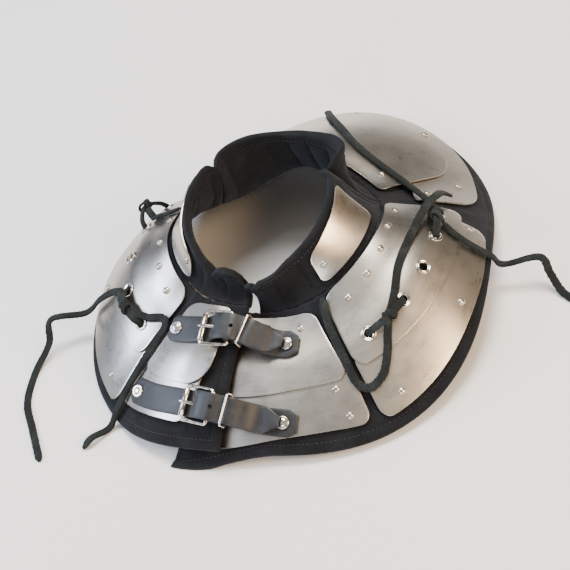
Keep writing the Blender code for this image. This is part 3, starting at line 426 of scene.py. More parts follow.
# %% Steel material
def make_steel():
    material, tree, shader = new_material("satin_finished_mild_steel", {"Metallic": 1.0})
    place_node = add_node(tree, "ShaderNodeTexCoord")
    cast = add_node(tree, "ShaderNodeTexNoise", inputs={"Scale": 9.0, "Detail": 2.0, "Roughness": 0.5},
                    links={"Vector": place_node.outputs["Object"]})
    tint = ramp(tree, cast.outputs["Fac"], (
        (0.30, linear("#a9a59d")), (0.50, linear("#bab3a7")), (0.72, linear("#c9c2b6"))))
    smudge = add_node(tree, "ShaderNodeTexNoise", inputs={"Scale": 55.0, "Detail": 4.0, "Roughness": 0.62},
                      links={"Vector": place_node.outputs["Object"]})
    # Satin grain is near 0.1 mm, drawn at 0.7 mm across and 30 mm along so that it shows
    stretch = add_node(tree, "ShaderNodeMapping", inputs={"Scale": (32.0, 1400.0, 1.0)},
                       links={"Vector": place_node.outputs["UV"]})
    grain = add_node(tree, "ShaderNodeTexNoise", inputs={"Scale": 1.0, "Detail": 3.0, "Roughness": 0.6},
                     links={"Vector": stretch.outputs["Vector"]})
    marks = add_node(tree, "ShaderNodeMix", {"data_type": "FLOAT"}, {"Factor": 0.45},
                     {"A": smudge.outputs["Fac"], "B": grain.outputs["Fac"]})
    rough = ramp(tree, marks.outputs["Result"], ((0.32, grey(0.24)), (0.70, grey(0.38))))
    stains = ramp(tree, marks.outputs["Result"], ((0.3, grey(0.62)), (0.6, grey(1.0))))
    worn = add_node(tree, "ShaderNodeMix", MULTIPLY, {"Factor": 0.05}, {"A": tint, "B": stains})
    dish = add_node(tree, "ShaderNodeTexNoise", inputs={"Scale": 22.0, "Detail": 1.0, "Roughness": 0.4},
                    links={"Vector": place_node.outputs["Object"]})
    soft = add_node(tree, "ShaderNodeBump", inputs={"Strength": 0.35, "Distance": 0.0016},
                    links={"Height": dish.outputs["Fac"]})
    fine = add_node(tree, "ShaderNodeBump", inputs={"Strength": 0.12, "Distance": 0.00025},
                    links={"Height": grain.outputs["Fac"], "Normal": soft.outputs["Normal"]})
    tree.links.new(worn.outputs["Result"], shader.inputs["Base Color"])
    tree.links.new(rough, shader.inputs["Roughness"])
    tree.links.new(fine.outputs["Normal"], shader.inputs["Normal"])
    return material


steel = make_steel()
print("made", steel.name)

# %% [markdown]
# ## Bright nickel
# Eyelets, roller buckles, keepers and cap rivets are steel or brass with a thin nickel plate.
# It is slightly warm and nearly a mirror, dulled a little where leather rubs it.

# %% Nickel material
def make_nickel():
    material, tree, shader = new_material("bright_nickel_plate", {
        "Metallic": 1.0, "Base Color": linear("#dcd6cc"), "Roughness": 0.16})
    place_node = add_node(tree, "ShaderNodeTexCoord")
    rub = add_node(tree, "ShaderNodeTexNoise", inputs={"Scale": 260.0, "Detail": 3.0, "Roughness": 0.6},
                   links={"Vector": place_node.outputs["Object"]})
    tree.links.new(ramp(tree, rub.outputs["Fac"], ((0.35, grey(0.10)), (0.70, grey(0.26)))),
                   shader.inputs["Roughness"])
    tree.links.new(ramp(tree, rub.outputs["Fac"], (
        (0.30, linear("#b8ad9b")), (0.55, linear("#e2ddd4")))), shader.inputs["Base Color"])
    return material


nickel = make_nickel()
print("made", nickel.name)

# %% [markdown]
# ## Black cotton canvas
# Yoke and collar are two layers of plain-woven cotton over batting. Black cotton is never
# quite black: it is a blue-grey with a soft sheen at grazing angles and pale lint on the folds.
# The weave is a pair of crossed waves at about 0.9 mm, twice the real thread pitch, because a
# finer one would not show.

# %% Cotton material
THREAD_PITCH = 0.0009


def make_cotton():
    material, tree, shader = new_material("black_cotton_canvas", {
        "Roughness": 0.93, "Sheen Weight": 0.35, "Sheen Roughness": 0.45, "Sheen Tint": linear("#5d6470"),
        "Specular IOR Level": 0.25})
    place_node = add_node(tree, "ShaderNodeTexCoord")
    weave = None
    for direction in ("X", "Y"):
        wave = add_node(tree, "ShaderNodeTexWave", {"wave_type": "BANDS", "bands_direction": direction},
                        {"Scale": 1.0 / (3.2 * THREAD_PITCH), "Distortion": 1.5, "Detail": 1.0,
                         "Detail Scale": 2.0},
                        {"Vector": place_node.outputs["UV"]})
        if weave is None:
            weave = wave.outputs["Fac"]
        else:
            crossed = add_node(tree, "ShaderNodeMath", {"operation": "MAXIMUM"})
            tree.links.new(weave, crossed.inputs[0])
            tree.links.new(wave.outputs["Fac"], crossed.inputs[1])
            weave = crossed.outputs["Value"]
    dust = add_node(tree, "ShaderNodeTexNoise", inputs={"Scale": 38.0, "Detail": 6.0, "Roughness": 0.65},
                    links={"Vector": place_node.outputs["Object"]})
    shade = ramp(tree, dust.outputs["Fac"], (
        (0.34, linear("#0b0c0f")), (0.58, linear("#15171b")), (0.80, linear("#24272c"))))
    lint = add_node(tree, "ShaderNodeTexNoise", inputs={"Scale": 900.0, "Detail": 1.0},
                    links={"Vector": place_node.outputs["Object"]})
    flecks = ramp(tree, lint.outputs["Fac"], ((0.72, grey(0.0)), (0.80, grey(1.0))))
    colour = add_node(tree, "ShaderNodeMix", {"data_type": "RGBA"},
                      {"B": linear("#3a3d41")}, {"Factor": flecks, "A": shade})
    gaps = ramp(tree, weave, ((0.2, grey(0.45)), (0.9, grey(1.0))))
    threads = add_node(tree, "ShaderNodeMix", MULTIPLY, {"Factor": 0.45},
                       {"A": colour.outputs["Result"], "B": gaps})
    bump = add_node(tree, "ShaderNodeBump", inputs={"Strength": 0.55, "Distance": 0.0004},
                    links={"Height": weave})
    crease = add_node(tree, "ShaderNodeTexNoise", inputs={"Scale": 120.0, "Detail": 5.0, "Roughness": 0.6},
                      links={"Vector": place_node.outputs["Object"]})
    creased = add_node(tree, "ShaderNodeBump", inputs={"Strength": 0.30, "Distance": 0.0014},
                       links={"Height": crease.outputs["Fac"], "Normal": bump.outputs["Normal"]})
    tree.links.new(threads.outputs["Result"], shader.inputs["Base Color"])
    tree.links.new(creased.outputs["Normal"], shader.inputs["Normal"])
    return material


cotton = make_cotton()
thread, _, _ = new_material("black_cotton_thread", {
    "Base Color": linear("#141518"), "Roughness": 0.75, "Sheen Weight": 0.1})
print("made", cotton.name, thread.name)

# %% [markdown]
# ## Strap leather and suede lace
# The straps are black dyed, drum-finished leather: smooth, a little shiny, with fine pores and
# burnished edges. The laces are cut from chrome-tanned split suede, so their faces are matt and
# slightly green-blue, and their edges are rough where the knife tore the fibres.

# %% Leather materials
def make_leather():
    material, tree, shader = new_material("black_drum_dyed_leather", {
        "Roughness": 0.46, "Specular IOR Level": 0.42, "Coat Weight": 0.06, "Coat Roughness": 0.4})
    place_node = add_node(tree, "ShaderNodeTexCoord")
    grain = add_node(tree, "ShaderNodeTexVoronoi", {"feature": "DISTANCE_TO_EDGE"}, {"Scale": 1250.0},
                     {"Vector": place_node.outputs["Object"]})
    wear = add_node(tree, "ShaderNodeTexNoise", inputs={"Scale": 85.0, "Detail": 6.0, "Roughness": 0.65},
                    links={"Vector": place_node.outputs["Object"]})
    tree.links.new(ramp(tree, wear.outputs["Fac"], (
        (0.30, linear("#17181a")), (0.55, linear("#222426")), (0.80, linear("#34363a")))),
        shader.inputs["Base Color"])
    tree.links.new(ramp(tree, wear.outputs["Fac"], ((0.3, grey(0.38)), (0.75, grey(0.58)))),
                   shader.inputs["Roughness"])
    pores = add_node(tree, "ShaderNodeBump", inputs={"Strength": 0.22, "Distance": 0.0003},
                     links={"Height": grain.outputs["Distance"]})
    bends = add_node(tree, "ShaderNodeBump", inputs={"Strength": 0.25, "Distance": 0.001},
                     links={"Height": wear.outputs["Fac"], "Normal": pores.outputs["Normal"]})
    tree.links.new(bends.outputs["Normal"], shader.inputs["Normal"])
    return material


def make_suede():
    material, tree, shader = new_material("charcoal_split_suede", {
        "Roughness": 0.92, "Sheen Weight": 0.16, "Sheen Roughness": 0.5, "Sheen Tint": linear("#7c8484"),
        "Specular IOR Level": 0.2})
    place_node = add_node(tree, "ShaderNodeTexCoord")
    nap = add_node(tree, "ShaderNodeTexNoise", inputs={"Scale": 520.0, "Detail": 5.0, "Roughness": 0.7},
                   links={"Vector": place_node.outputs["Object"]})
    patch = add_node(tree, "ShaderNodeTexNoise", inputs={"Scale": 60.0, "Detail": 3.0},
                     links={"Vector": place_node.outputs["Object"]})
    both = add_node(tree, "ShaderNodeMix", {"data_type": "FLOAT"}, {"Factor": 0.5},
                    {"A": nap.outputs["Fac"], "B": patch.outputs["Fac"]})
    tree.links.new(ramp(tree, both.outputs["Result"], (
        (0.34, linear("#0d1010")), (0.52, linear("#1b1f1f")), (0.72, linear("#323838")))),
        shader.inputs["Base Color"])
    bump = add_node(tree, "ShaderNodeBump", inputs={"Strength": 0.7, "Distance": 0.0008},
                    links={"Height": nap.outputs["Fac"]})
    tree.links.new(bump.outputs["Normal"], shader.inputs["Normal"])
    return material


leather = make_leather()
suede = make_suede()
print("made", leather.name, suede.name)

# %% [markdown]
# ## Free lace ends
# Seven ends hang from the knots. They are flat suede strips 7.5 mm wide and 3 mm thick, so
# each is a flat ring swept along the route that the solids take. The route's points are the
# construction's own. The edges are jagged by seeded noise, because split suede tears as it is
# cut, and the tip is cut to a point or left ragged.

# %% Lace routes
LACE_WIDTH = 0.0075
# a free cord is at least six widths long, and this end is 41 mm
SHORT_LACE_WIDTH = 0.0067    # the short free end, 41 mm long, is cut a little narrower
SHORT_LACE_LENGTH = 0.060
LACE_THICKNESS = 0.0030
LACE_LOWERED = 0.0015        # the flat strip lies this much lower than the solids' round tubes
LACE_SPACING = 0.0016
FLOOR_SHARE = 1.12
LACE_TAILS = {
    "lace_front_right_end_1": (
        (17.5, 0.43, 0.0085), (24.0, 0.37, 0.0080), (41.0, 0.26, 0.0082), (57.0, 0.22, 0.0084),
        (72.0, 0.26, 0.0084), (85.0, 0.43, 0.0080), (93.0, 0.62, 0.0090), (99.0, 0.90, 0.0090),
    ),
    "lace_front_right_end_2": (
        (6.5, 0.545, 0.0085), (4.0, 0.64, 0.0082), (3.0, 0.78, 0.0072), (3.0, 0.96, 0.0066),
        (3.0, 1.07, 0.0050), (2.5, 1.22, 0.0330), (1.5, 1.42, 0.0180), (-0.5, 1.64, 0.0050),
        (-3.0, 1.88, 0.0032), (-5.0, 2.12, 0.0032),
    ),
    "lace_back_right_end_1": (
        (-27.0, 0.365, 0.0080), (-20.0, 0.30, 0.0072), (-11.5, 0.285, 0.0072), (-0.5, 0.31, 0.0120),
        (8.0, 0.355, 0.0190), (16.0, 0.44, 0.0215), (22.0, 0.51, 0.0170), (26.0, 0.60, 0.0110),
    ),
    "lace_back_right_end_2": (
        (-38.5, 0.52, 0.0085), (-42.0, 0.61, 0.0082), (-46.0, 0.69, 0.0075), (-50.5, 0.715, 0.0075),
        (-53.0, 0.65, 0.0075), (-53.2, 0.50, 0.0080), (-53.2, 0.34, 0.0082), (-52.5, 0.20, 0.0082),
        (-50.0, 0.05, 0.0070),
    ),
    "lace_front_left_end_1": (
        (176.5, 0.42, 0.0085), (176.8, 0.30, 0.0071), (176.8, 0.16, 0.0062), (176.8, 0.03, 0.0060),
    ),
    "lace_back_left_end_1": (
        (206.0, 0.53, 0.0083), (203.0, 0.64, 0.0085), (201.0, 0.80, 0.0100), (200.0, 1.00, 0.0120),
        (200.5, 1.18, 0.0330), (203.0, 1.38, 0.0130), (208.0, 1.56, 0.0035), (215.0, 1.60, 0.0032),
        (222.0, 1.58, 0.0032), (230.0, 1.62, 0.0032),
    ),
    "lace_back_left_end_2": (
        (224.0, 0.36, 0.0080), (229.0, 0.285, 0.0068), (233.0, 0.31, 0.0074), (234.0, 0.42, 0.0085),
        (234.0, 0.60, 0.0080), (234.0, 0.80, 0.0075), (234.0, 0.95, 0.0055), (234.0, 1.05, 0.0050),
        (234.0, 1.18, 0.0080), (234.0, 1.30, 0.0032),
    ),
}


# %% Lace strips
def lace_row(angle, share, height):
    """Place and upward direction of a lace, on the armour or on the floor."""
    point = place(angle, share, height - LACE_LOWERED + flap_lift(angle))
    up = skin_normal(angle, share)
    if share > FLOOR_SHARE:
        point[2] = height - LACE_LOWERED
        up = np.array((0.0, 0.0, 1.0))
    return np.concatenate([point, up])


def strip_frames(points, ups):
    """Side and up directions of a flat strip along its points."""
    tangents = np.gradient(points, axis=0)
    tangents /= np.linalg.norm(tangents, axis=1, keepdims=True)
    sides = np.cross(tangents, ups)
    sides /= np.linalg.norm(sides, axis=1, keepdims=True)
    return sides, np.cross(sides, tangents)


def strip_outline(points, width, thickness, seed, ragged, tip):
    """Function that gives the cross-section of a flat strip at each ring."""
    count = len(points)
    steps = np.linspace(0.0, 2.0 * math.pi, 14, endpoint=False)
    box = [(math.copysign(abs(math.cos(t)) ** 0.45, math.cos(t)),
            math.copysign(abs(math.sin(t)) ** 0.6, math.sin(t))) for t in steps]
    travelled = np.concatenate([[0.0], np.cumsum(np.linalg.norm(np.diff(points, axis=0), axis=1))])

    def outline(ring):
        left = travelled[-1] - travelled[ring]
        taper = 0.40 + 0.60 * min(1.0, left / tip)
        section_points = []
        for a, b in box:
            spot = Vector((travelled[ring] * 620.0, seed + math.copysign(3.0, a), 0.0))
            tear = ragged * noise.noise(spot) * abs(a) ** 3
            half = width / 2.0 * taper + tear * min(1.0, ring / 4.0, (count - 1 - ring) / 3.0 + 0.3)
            lift = 0.00025 * noise.noise(Vector((travelled[ring] * 400.0, seed, a * 2.0)))
            section_points.append((a * half, b * (thickness / 2.0) * (0.55 + 0.45 * taper) + lift))
        return section_points
    return outline


lace_pieces = []
for seed, (name, rows) in enumerate(LACE_TAILS.items()):
    route = smooth_route([lace_row(*row) for row in rows], LACE_SPACING)
    sides, ups = strip_frames(route[:, :3], route[:, 3:])
    length = float(np.linalg.norm(np.diff(route[:, :3], axis=0), axis=1).sum())
    width = LACE_WIDTH if length > SHORT_LACE_LENGTH else SHORT_LACE_WIDTH
    outline = strip_outline(route[:, :3], width, LACE_THICKNESS, 7.0 * seed, 0.0009, 0.005)
    strip = swept_solid(f"{name}_strip", route[:, :3], sides, ups, outline, suede)
    lace_pieces.append((strip, name, route[:, :3], length, width))
    print(name, "length in mm", round(length * 1000))

# %% [markdown]
# ## The quilted yoke
# The yoke is two layers of canvas with batting between, stitched in radial channels. The
# batting pushes the cloth up between the stitch lines, so the skin is a row of soft rolls with
# sharp valleys. Here the solid's own surface is sampled finely and only ever pressed inwards
# from it, because the plates lie right on its crests. Edges are closed round, like a turned hem.

# %% Quilted yoke
CHANNELS = 40                 # radial quilting channels in the full ring
VALLEY_DEPTH = 0.0026
YOKE_COLUMNS = 620
STITCH_INSET = 0.0085         # topstitching runs this far from the hem and the flap's edge


def round_edge(distance, radius):
    """Share of the full thickness at a distance from a rounded edge."""
    return np.sqrt(np.clip(1.0 - (1.0 - np.clip(distance / radius, 0.0, 1.0)) ** 2, 0.0, 1.0))


def valley(distance, width):
    """Depth share of a stitched valley at a distance from its seam."""
    return np.exp(-np.abs(distance) / width)


def settle(points, reach):
    """Press points near the surface that it lies on onto it, softly."""
    height = points[..., 2]
    points[..., 2] = np.clip(height, 0.0, None) * smooth_step(height / reach)
    return points


def build_yoke():
    turns = np.linspace(LOWER_FLAP_END, UPPER_FLAP_END, YOKE_COLUMNS)
    parts = np.concatenate([np.linspace(0.0, 0.9, 46)[:-1],
                            1.0 - 0.1 * np.cos(np.linspace(0.0, math.pi / 2, 17))])
    angle, part = np.meshgrid(turns, parts)
    share = part * hem_share(angle)
    radius, _ = profile(angle, share)
    neck_radius, neck_height, hem_radius, hem_height, _, _ = section(angle)
    slope = np.hypot(hem_radius - neck_radius, neck_height - hem_height)
    to_hem = (1.0 - part) * hem_share(angle) * slope
    to_side = np.radians(np.minimum(angle - LOWER_FLAP_END, UPPER_FLAP_END - angle)) * radius
    half = YOKE_THICKNESS / 2.0 * round_edge(np.minimum(to_hem, to_side), YOKE_THICKNESS * 0.6)
    half = np.maximum(half, 0.0002)
    channel = angle / (360.0 / CHANNELS)
    to_seam = np.abs(channel - np.round(channel)) * np.radians(360.0 / CHANNELS) * radius
    fade = smooth_step((to_hem - STITCH_INSET) / 0.010) * smooth_step((to_side - STITCH_INSET) / 0.010)
    sink = VALLEY_DEPTH * valley(to_seam, 0.0042) * fade
    edge_line = np.minimum(to_hem, to_side)
    sink += 0.0011 * valley(edge_line - STITCH_INSET, 0.0016)
    normal = skin_normal(angle, share)
    base = raw_skin(angle, share) + SHIFT + (flap_lift(angle) - YOKE_THICKNESS / 2.0)[..., None] * normal
    ripple = 0.0007 * (1.0 + noise_field(base, 46.0, 3.0)) * smooth_step(to_hem / 0.004)
    top = base + (half - np.minimum(sink + ripple, half * 0.85))[..., None] * normal
    bottom = base - (half - np.minimum(0.7 * sink + 0.5 * ripple, half * 0.85))[..., None] * normal
    bottom = settle(bottom, 2.0 * HEM_PRESS)
    thick = (YOKE_THICKNESS - HEM_PRESS) * round_edge(np.minimum(to_hem, to_side), YOKE_THICKNESS * 0.5)
    top[..., 2] = np.maximum(top[..., 2], bottom[..., 2] + np.minimum(thick, 2.0 * half))
    uvs = np.stack([np.radians(angle) * 0.5 * (neck_radius + hem_radius), share * slope], -1)
    return grid_solid("yoke_quilted_cotton", top, bottom, uvs, cotton)


yoke = build_yoke()
print("yoke faces", len(yoke.data.polygons))

# %% [markdown]
# ## The standing collar
# The collar is three padded segments. Two deep pinches at the front let it bend at
# the front: at the right one the front segment's corner springs outwards and the side segment
# tucks inwards, which makes an S when seen from above. Vertical channels are stitched through
# it, and a row of topstitching below the rim leaves the edge standing as a soft roll.

# %% Collar tables
COLLAR_CHANNELS = 20
RIM_LINE = 0.80               # share of the collar's height where the rim is topstitched
# How far the rim leans out, in metres, and how far it stands up, at angles around the neck
RIM_OUT = {
    "liner_collar_right": ((-88.5, 0.006), (-80.0, 0.014), (-69.0, 0.011), (-57.0, 0.002), (-45.0, 0.0),
                           (8.0, 0.0), (15.0, -0.002), (20.0, -0.007), (24.7, -0.008)),
    "liner_collar_front": ((25.3, -0.004), (29.0, 0.002), (33.0, 0.009), (38.0, 0.016), (47.0, 0.014),
                           (58.0, 0.009), (72.0, 0.004), (88.0, 0.0), (130.0, -0.001), (143.0, -0.003),
                           (150.0, -0.007), (154.7, -0.010)),
    "liner_collar_left": ((155.3, -0.012), (160.0, -0.005), (168.0, -0.002), (178.0, 0.0), (225.0, 0.0),
                          (245.0, 0.002), (268.5, -0.002)),
}
RIM_UP = {
    "liner_collar_right": ((-88.5, -0.013), (-86.0, -0.006), (-82.5, -0.003), (-80.5, -0.0045), (-77.0, 0.0),
                           (15.0, 0.0), (24.7, -0.003)),
    "liner_collar_front": ((25.3, -0.006), (31.0, 0.0), (40.0, 0.002), (60.0, 0.001), (140.0, 0.0),
                           (150.0, -0.001), (154.7, -0.005)),
    "liner_collar_left": ((155.3, -0.004), (160.0, 0.0), (235.0, 0.0), (243.0, -0.003), (247.5, -0.009),
                          (251.0, -0.003), (257.0, 0.001), (263.0, -0.001), (266.5, -0.006), (268.5, -0.016)),
}
COLLAR_PLATE_SPANS = ((-50.0, 9.0), (171.0, 230.0))


# %% Collar segments
def beside_plates(angle):
    """1 away from the collar plates, 0 under them."""
    free = np.ones_like(angle)
    for start, end in COLLAR_PLATE_SPANS:
        free *= np.maximum(smooth_step((start - angle) / 8.0), smooth_step((angle - end) / 6.0))
    return free


def collar_surface(name, angle, rise, depth):
    """Points of a segment; depth 0 is the outer skin and 1 the inner one."""
    lift = (flap_lift(angle) * (1.0 - rise) ** 2)[..., None] * skin_normal(angle, 0.0 * angle)
    normal = skin_normal(angle, -rise)
    outward = np.stack([np.cos(np.radians(angle)), np.sin(np.radians(angle)), 0.0 * angle], -1)
    lean = ease(RIM_OUT[name], angle) * rise ** 2.2
    stand = ease(RIM_UP[name], angle) * smooth_step((rise - 0.25) / 0.75)
    points = raw_skin(angle, -rise) + SHIFT + lift + lean[..., None] * outward
    points[..., 2] += stand
    return points - (depth * COLLAR_THICKNESS)[..., None] * normal, normal


def build_collar(name, start, end):
    columns = int((end - start) * 2.0)
    turns = start + (end - start) * (0.5 - 0.5 * np.cos(np.linspace(0.0, math.pi, columns)))
    turns = 0.6 * turns + 0.4 * np.linspace(start, end, columns)
    foot = 0.03
    rises = foot + (1.0 - foot) * np.sin(np.linspace(0.0, math.pi / 2, 46))
    angle, rise = np.meshgrid(turns, rises)
    radius, _ = profile(angle, -rise)
    height = COLLAR_HEIGHT * 1.25
    to_rim = (1.0 - rise) * height
    to_side = np.radians(np.minimum(angle - start, end - angle)) * radius
    edge = np.minimum(to_rim, to_side * 1.3)
    half = 0.5 * np.maximum(round_edge(edge, COLLAR_THICKNESS * 0.55), 0.03)
    channel = angle / (360.0 / COLLAR_CHANNELS)
    to_seam = np.abs(channel - np.round(channel)) * np.radians(360.0 / COLLAR_CHANNELS) * radius
    fade = smooth_step((RIM_LINE - rise) / 0.10) * smooth_step((to_side - 0.004) / 0.008)
    sink = 0.24 * valley(to_seam, 0.0034) * fade * smooth_step((rise - 0.04) / 0.25)
    under_plate = 0.06 * (1.0 - beside_plates(angle))
    sink = sink + 0.20 * valley((rise - RIM_LINE) * height, 0.0014) * smooth_step(to_side / 0.006)
    middle, _ = collar_surface(name, angle, rise, np.full_like(angle, 0.5))
    rumple = 0.10 * (1.0 + noise_field(middle, 60.0, 11.0)) * smooth_step(edge / 0.004)
    outer_sink = np.minimum(sink + rumple + under_plate, 0.42)
    inner_sink = np.minimum(1.15 * sink + rumple, 0.42)
    top, _ = collar_surface(name, angle, rise, 0.5 - half + np.minimum(outer_sink, 0.8 * half))
    bottom, _ = collar_surface(name, angle, rise, 0.5 + half - np.minimum(inner_sink, 0.8 * half))
    swell = 0.0012 * beside_plates(angle) * noise_field(middle, 34.0, 5.0) * smooth_step(rise / 0.4)
    outward = np.stack([np.cos(np.radians(angle)), np.sin(np.radians(angle)), 0.0 * angle], -1)
    top, bottom = top + swell[..., None] * outward, bottom + swell[..., None] * outward
    uvs = np.stack([np.radians(angle) * RIM_RADIUS, rise * height], -1)
    return grid_solid(f"{name}_quilted", top, bottom, uvs, cotton)


COLLAR_SPANS = {
    "liner_collar_right": (COLLAR_ENDS[0], PINCH_ANGLES[0] - 0.13),
    "liner_collar_front": (PINCH_ANGLES[0] + 0.13, PINCH_ANGLES[1] - 0.13),
    "liner_collar_left": (PINCH_ANGLES[1] + 0.13, COLLAR_ENDS[1]),
}
collars = {name: build_collar(name, *span) for name, span in COLLAR_SPANS.items()}
print("collar segments", list(collars))

# %% [markdown]
# ## The steel plates
# Each plate is a sheet 1.5 mm thick, cut with rounded corners and dished to the slope, and the
# upper course climbs over the lower one. The solids are faceted, so every plate is made again
# here on a fine grid from the same outline, with a small bevel on its edges: a real sheared
# and filed edge always catches a thin line of light.

# %% Plate tables
STEEL = 0.0015
PLATE_SEAT = 0.0009
GAP = 0.0003
PLATES = {
    "front_plate_upper": {
        "course": "upper", "handed": False, "step": (0.05, 0.20),
        "start": (35.0, 45.0), "end": (145.0, 135.0), "corners": (0.010, 0.026, 0.010, 0.026),
        "rows": ((35, 0.06, 0.72), (55, 0.05, 0.77), (72, 0.05, 0.81), (90, 0.05, 0.82),
                 (108, 0.05, 0.81), (125, 0.05, 0.77), (145, 0.06, 0.72)),
        "rivets": ((49, 0.18), (131, 0.18)),
    },
    "front_plate_lower": {
        "course": "lower", "handed": False,
        "start": (24.0, 27.0), "end": (156.0, 153.0), "corners": (0.009, 0.022, 0.009, 0.022),
        "rows": ((22, 0.30, 0.84), (38, 0.32, 0.87), (52, 0.33, 0.92), (70, 0.33, 0.96),
                 (90, 0.33, 0.96), (110, 0.33, 0.96), (128, 0.33, 0.92), (142, 0.32, 0.87),
                 (158, 0.30, 0.84)),
        "rivets": ((31, 0.44), (38, 0.73), (67, 0.88), (90, 0.88), (113, 0.88), (139, 0.57),
                   (142, 0.73)),
    },
    "shoulder_plate_upper": {
        "course": "upper", "handed": True, "step": (0.20, 0.44),
        "start": (-51.0, -51.0), "end": (17.5, 19.0), "corners": (0.014, 0.013, 0.008, 0.012),
        "rows": ((-51, 0.03, 0.575), (-36, 0.02, 0.59), (-20, 0.02, 0.635), (-3, 0.02, 0.68),
                 (19, 0.02, 0.69)),
        "rivets": ((10, 0.12), (-4, 0.09), (-17, 0.11), (-29, 0.13), (-41, 0.15)),
    },
    "shoulder_plate_lower": {
        "course": "lower", "handed": True,
        "start": (-51.0, -51.0), "end": (15.0, 12.5), "corners": (0.005, 0.010, 0.005, 0.013),
        "rows": ((-51, 0.50, 0.92), (-35, 0.52, 0.91), (-20, 0.56, 0.91), (-3, 0.59, 0.93),
                 (15, 0.60, 0.90)),
        "rivets": ((12, 0.78), (-16, 0.82), (-44, 0.83)),
    },
    "back_plate_upper_right": {
        "course": "upper", "handed": False, "step": (0.16, 0.46),
        "start": (-98.0, -98.0), "end": (-57.0, -54.0), "corners": (0.006, 0.006, 0.010, 0.010),
        "rows": ((-98, 0.06, 0.66), (-82, 0.06, 0.63), (-70, 0.07, 0.595), (-54, 0.09, 0.59)),
        "rivets": ((-64.5, 0.18),),
    },
    "back_plate_lower_right": {
        "course": "lower", "handed": False,
        "start": (-102.0, -102.5), "end": (-53.0, -53.5), "corners": (0.006, 0.010, 0.006, 0.010),
        "rows": ((-102, 0.52, 1.00), (-90, 0.52, 0.97), (-76, 0.51, 0.90), (-64, 0.50, 0.88),
                 (-53, 0.50, 0.90)),
        "rivets": ((-59, 0.64), (-58, 0.82)),
    },
    "back_plate_upper_left": {
        "course": "upper", "handed": False, "step": (0.16, 0.46),
        "start": (236.0, 235.0), "end": (262.0, 262.0), "corners": (0.010, 0.010, 0.010, 0.024),
        "rows": ((235, 0.06, 0.60), (248, 0.04, 0.60), (262, 0.04, 0.61)),
        "rivets": (),
    },
    "back_plate_lower_left": {
        "course": "lower", "handed": False,
        "start": (236.0, 233.0), "end": (259.5, 258.5), "corners": (0.006, 0.010, 0.006, 0.012),
        "rows": ((233, 0.50, 0.86), (248, 0.50, 0.845), (260, 0.50, 0.85)),
        "rivets": (),
    },
    "collar_plate": {
        "course": "collar", "handed": True,
        "start": (-46.0, -46.5), "end": (5.0, 0.0), "corners": (0.008, 0.009, 0.004, 0.006),
        "rows": ((-47, -0.70, -0.16), (-30, -0.78, -0.15), (-12, -0.84, -0.17), (5, -0.93, -0.24)),
        "rivets": ((-41, -0.44),),
    },
}
EYELETS = ((13.2, 0.49), (0.0, 0.49), (-14.5, 0.47), (-27.7, 0.45), (-42.8, 0.43))
EYELET_RADIUS = 0.0070
EYELET_BORE_RADIUS = 0.00375
EYELET_BARREL_RADIUS = 0.0046
EYELET_RISE = 0.0011


# %% Plate builder
def mirrored(angle):
    return 180.0 - angle


def plate_underside(plate, angle, share):
    height = PLATE_SEAT + flap_lift(angle)
    if plate["course"] == "upper":
        low, high = plate["step"]
        height = height + (STEEL + PLATE_SEAT) * smooth_step((share - low) / (high - low))
    return height


def corner_inset(distance, radius):
    reach = np.clip(radius - distance, 0.0, radius)
    return np.where(distance >= radius, 0.0, radius - np.sqrt(radius * radius - reach * reach))


def plate_grid(plate):
    """Angle and share of each grid point of a plate with rounded corners."""
    rows = plate["rows"]
    middle = (plate["start"][0] + plate["end"][0]) / 2.0
    inner, outer = follow(rows, 1, middle), follow(rows, 2, middle)
    width = float(np.linalg.norm(raw_skin(middle, outer) - raw_skin(middle, inner)))
    along = max(int(abs(plate["end"][0] - plate["start"][0]) * 1.3), 36)
    parts = 0.5 - 0.5 * np.cos(np.linspace(0.0, math.pi, 31))
    angles, shares = [], []
    for part in parts:
        ends = []
        for key, sign, corner in (("start", 1.0, 0), ("end", -1.0, 2)):
            angle = plate[key][0] + part * (plate[key][1] - plate[key][0])
            radius = float(profile(np.array(angle), np.array(inner + part * (outer - inner)))[0])
            inset = float(corner_inset(part * width, plate["corners"][corner]))
            inset += float(corner_inset((1.0 - part) * width, plate["corners"][corner + 1]))
            ends.append(angle + sign * math.degrees(inset / radius))
        line = np.linspace(ends[0], ends[1], along)
        low, high = follow(rows, 1, line), follow(rows, 2, line)
        angles.append(line)
        shares.append(low + part * (high - low))
    return np.array(angles), np.array(shares)


def apply_modifiers(item):
    bpy.context.view_layer.update()
    evaluated = item.evaluated_get(bpy.context.evaluated_depsgraph_get())
    mesh = bpy.data.meshes.new_from_object(evaluated)
    item.modifiers.clear()
    item.data = mesh


def frame_on_skin(angle, share, height):
    """Matrix on the skin with Z off it and X around the neck."""
    up = Vector(skin_normal(angle, share))
    around = Vector(raw_skin(angle + 0.25, share) - raw_skin(angle - 0.25, share))
    x_axis = (around - around.dot(up) * up).normalized()
    matrix = Matrix((x_axis, up.cross(x_axis), up)).transposed().to_4x4()
    matrix.translation = Vector(place(angle, share, height))
    return matrix


def cut_away(item, data, smooth_angle=None):
    """Cut a closed bmesh out of a piece by a Boolean, applied at once."""
    mesh = bpy.data.meshes.new("cutter")
    data.to_mesh(mesh)
    data.free()
    cutter = bpy.data.objects.new("cutter", mesh)
    bpy.context.scene.collection.objects.link(cutter)
    cut = item.modifiers.new("cut", "BOOLEAN")
    cut.operation = "DIFFERENCE"
    cut.object = cutter
    apply_modifiers(item)
    bpy.data.objects.remove(cutter)
    if smooth_angle is not None:
        item.data.shade_smooth()
        item.data.set_sharp_from_angle(angle=math.radians(smooth_angle))


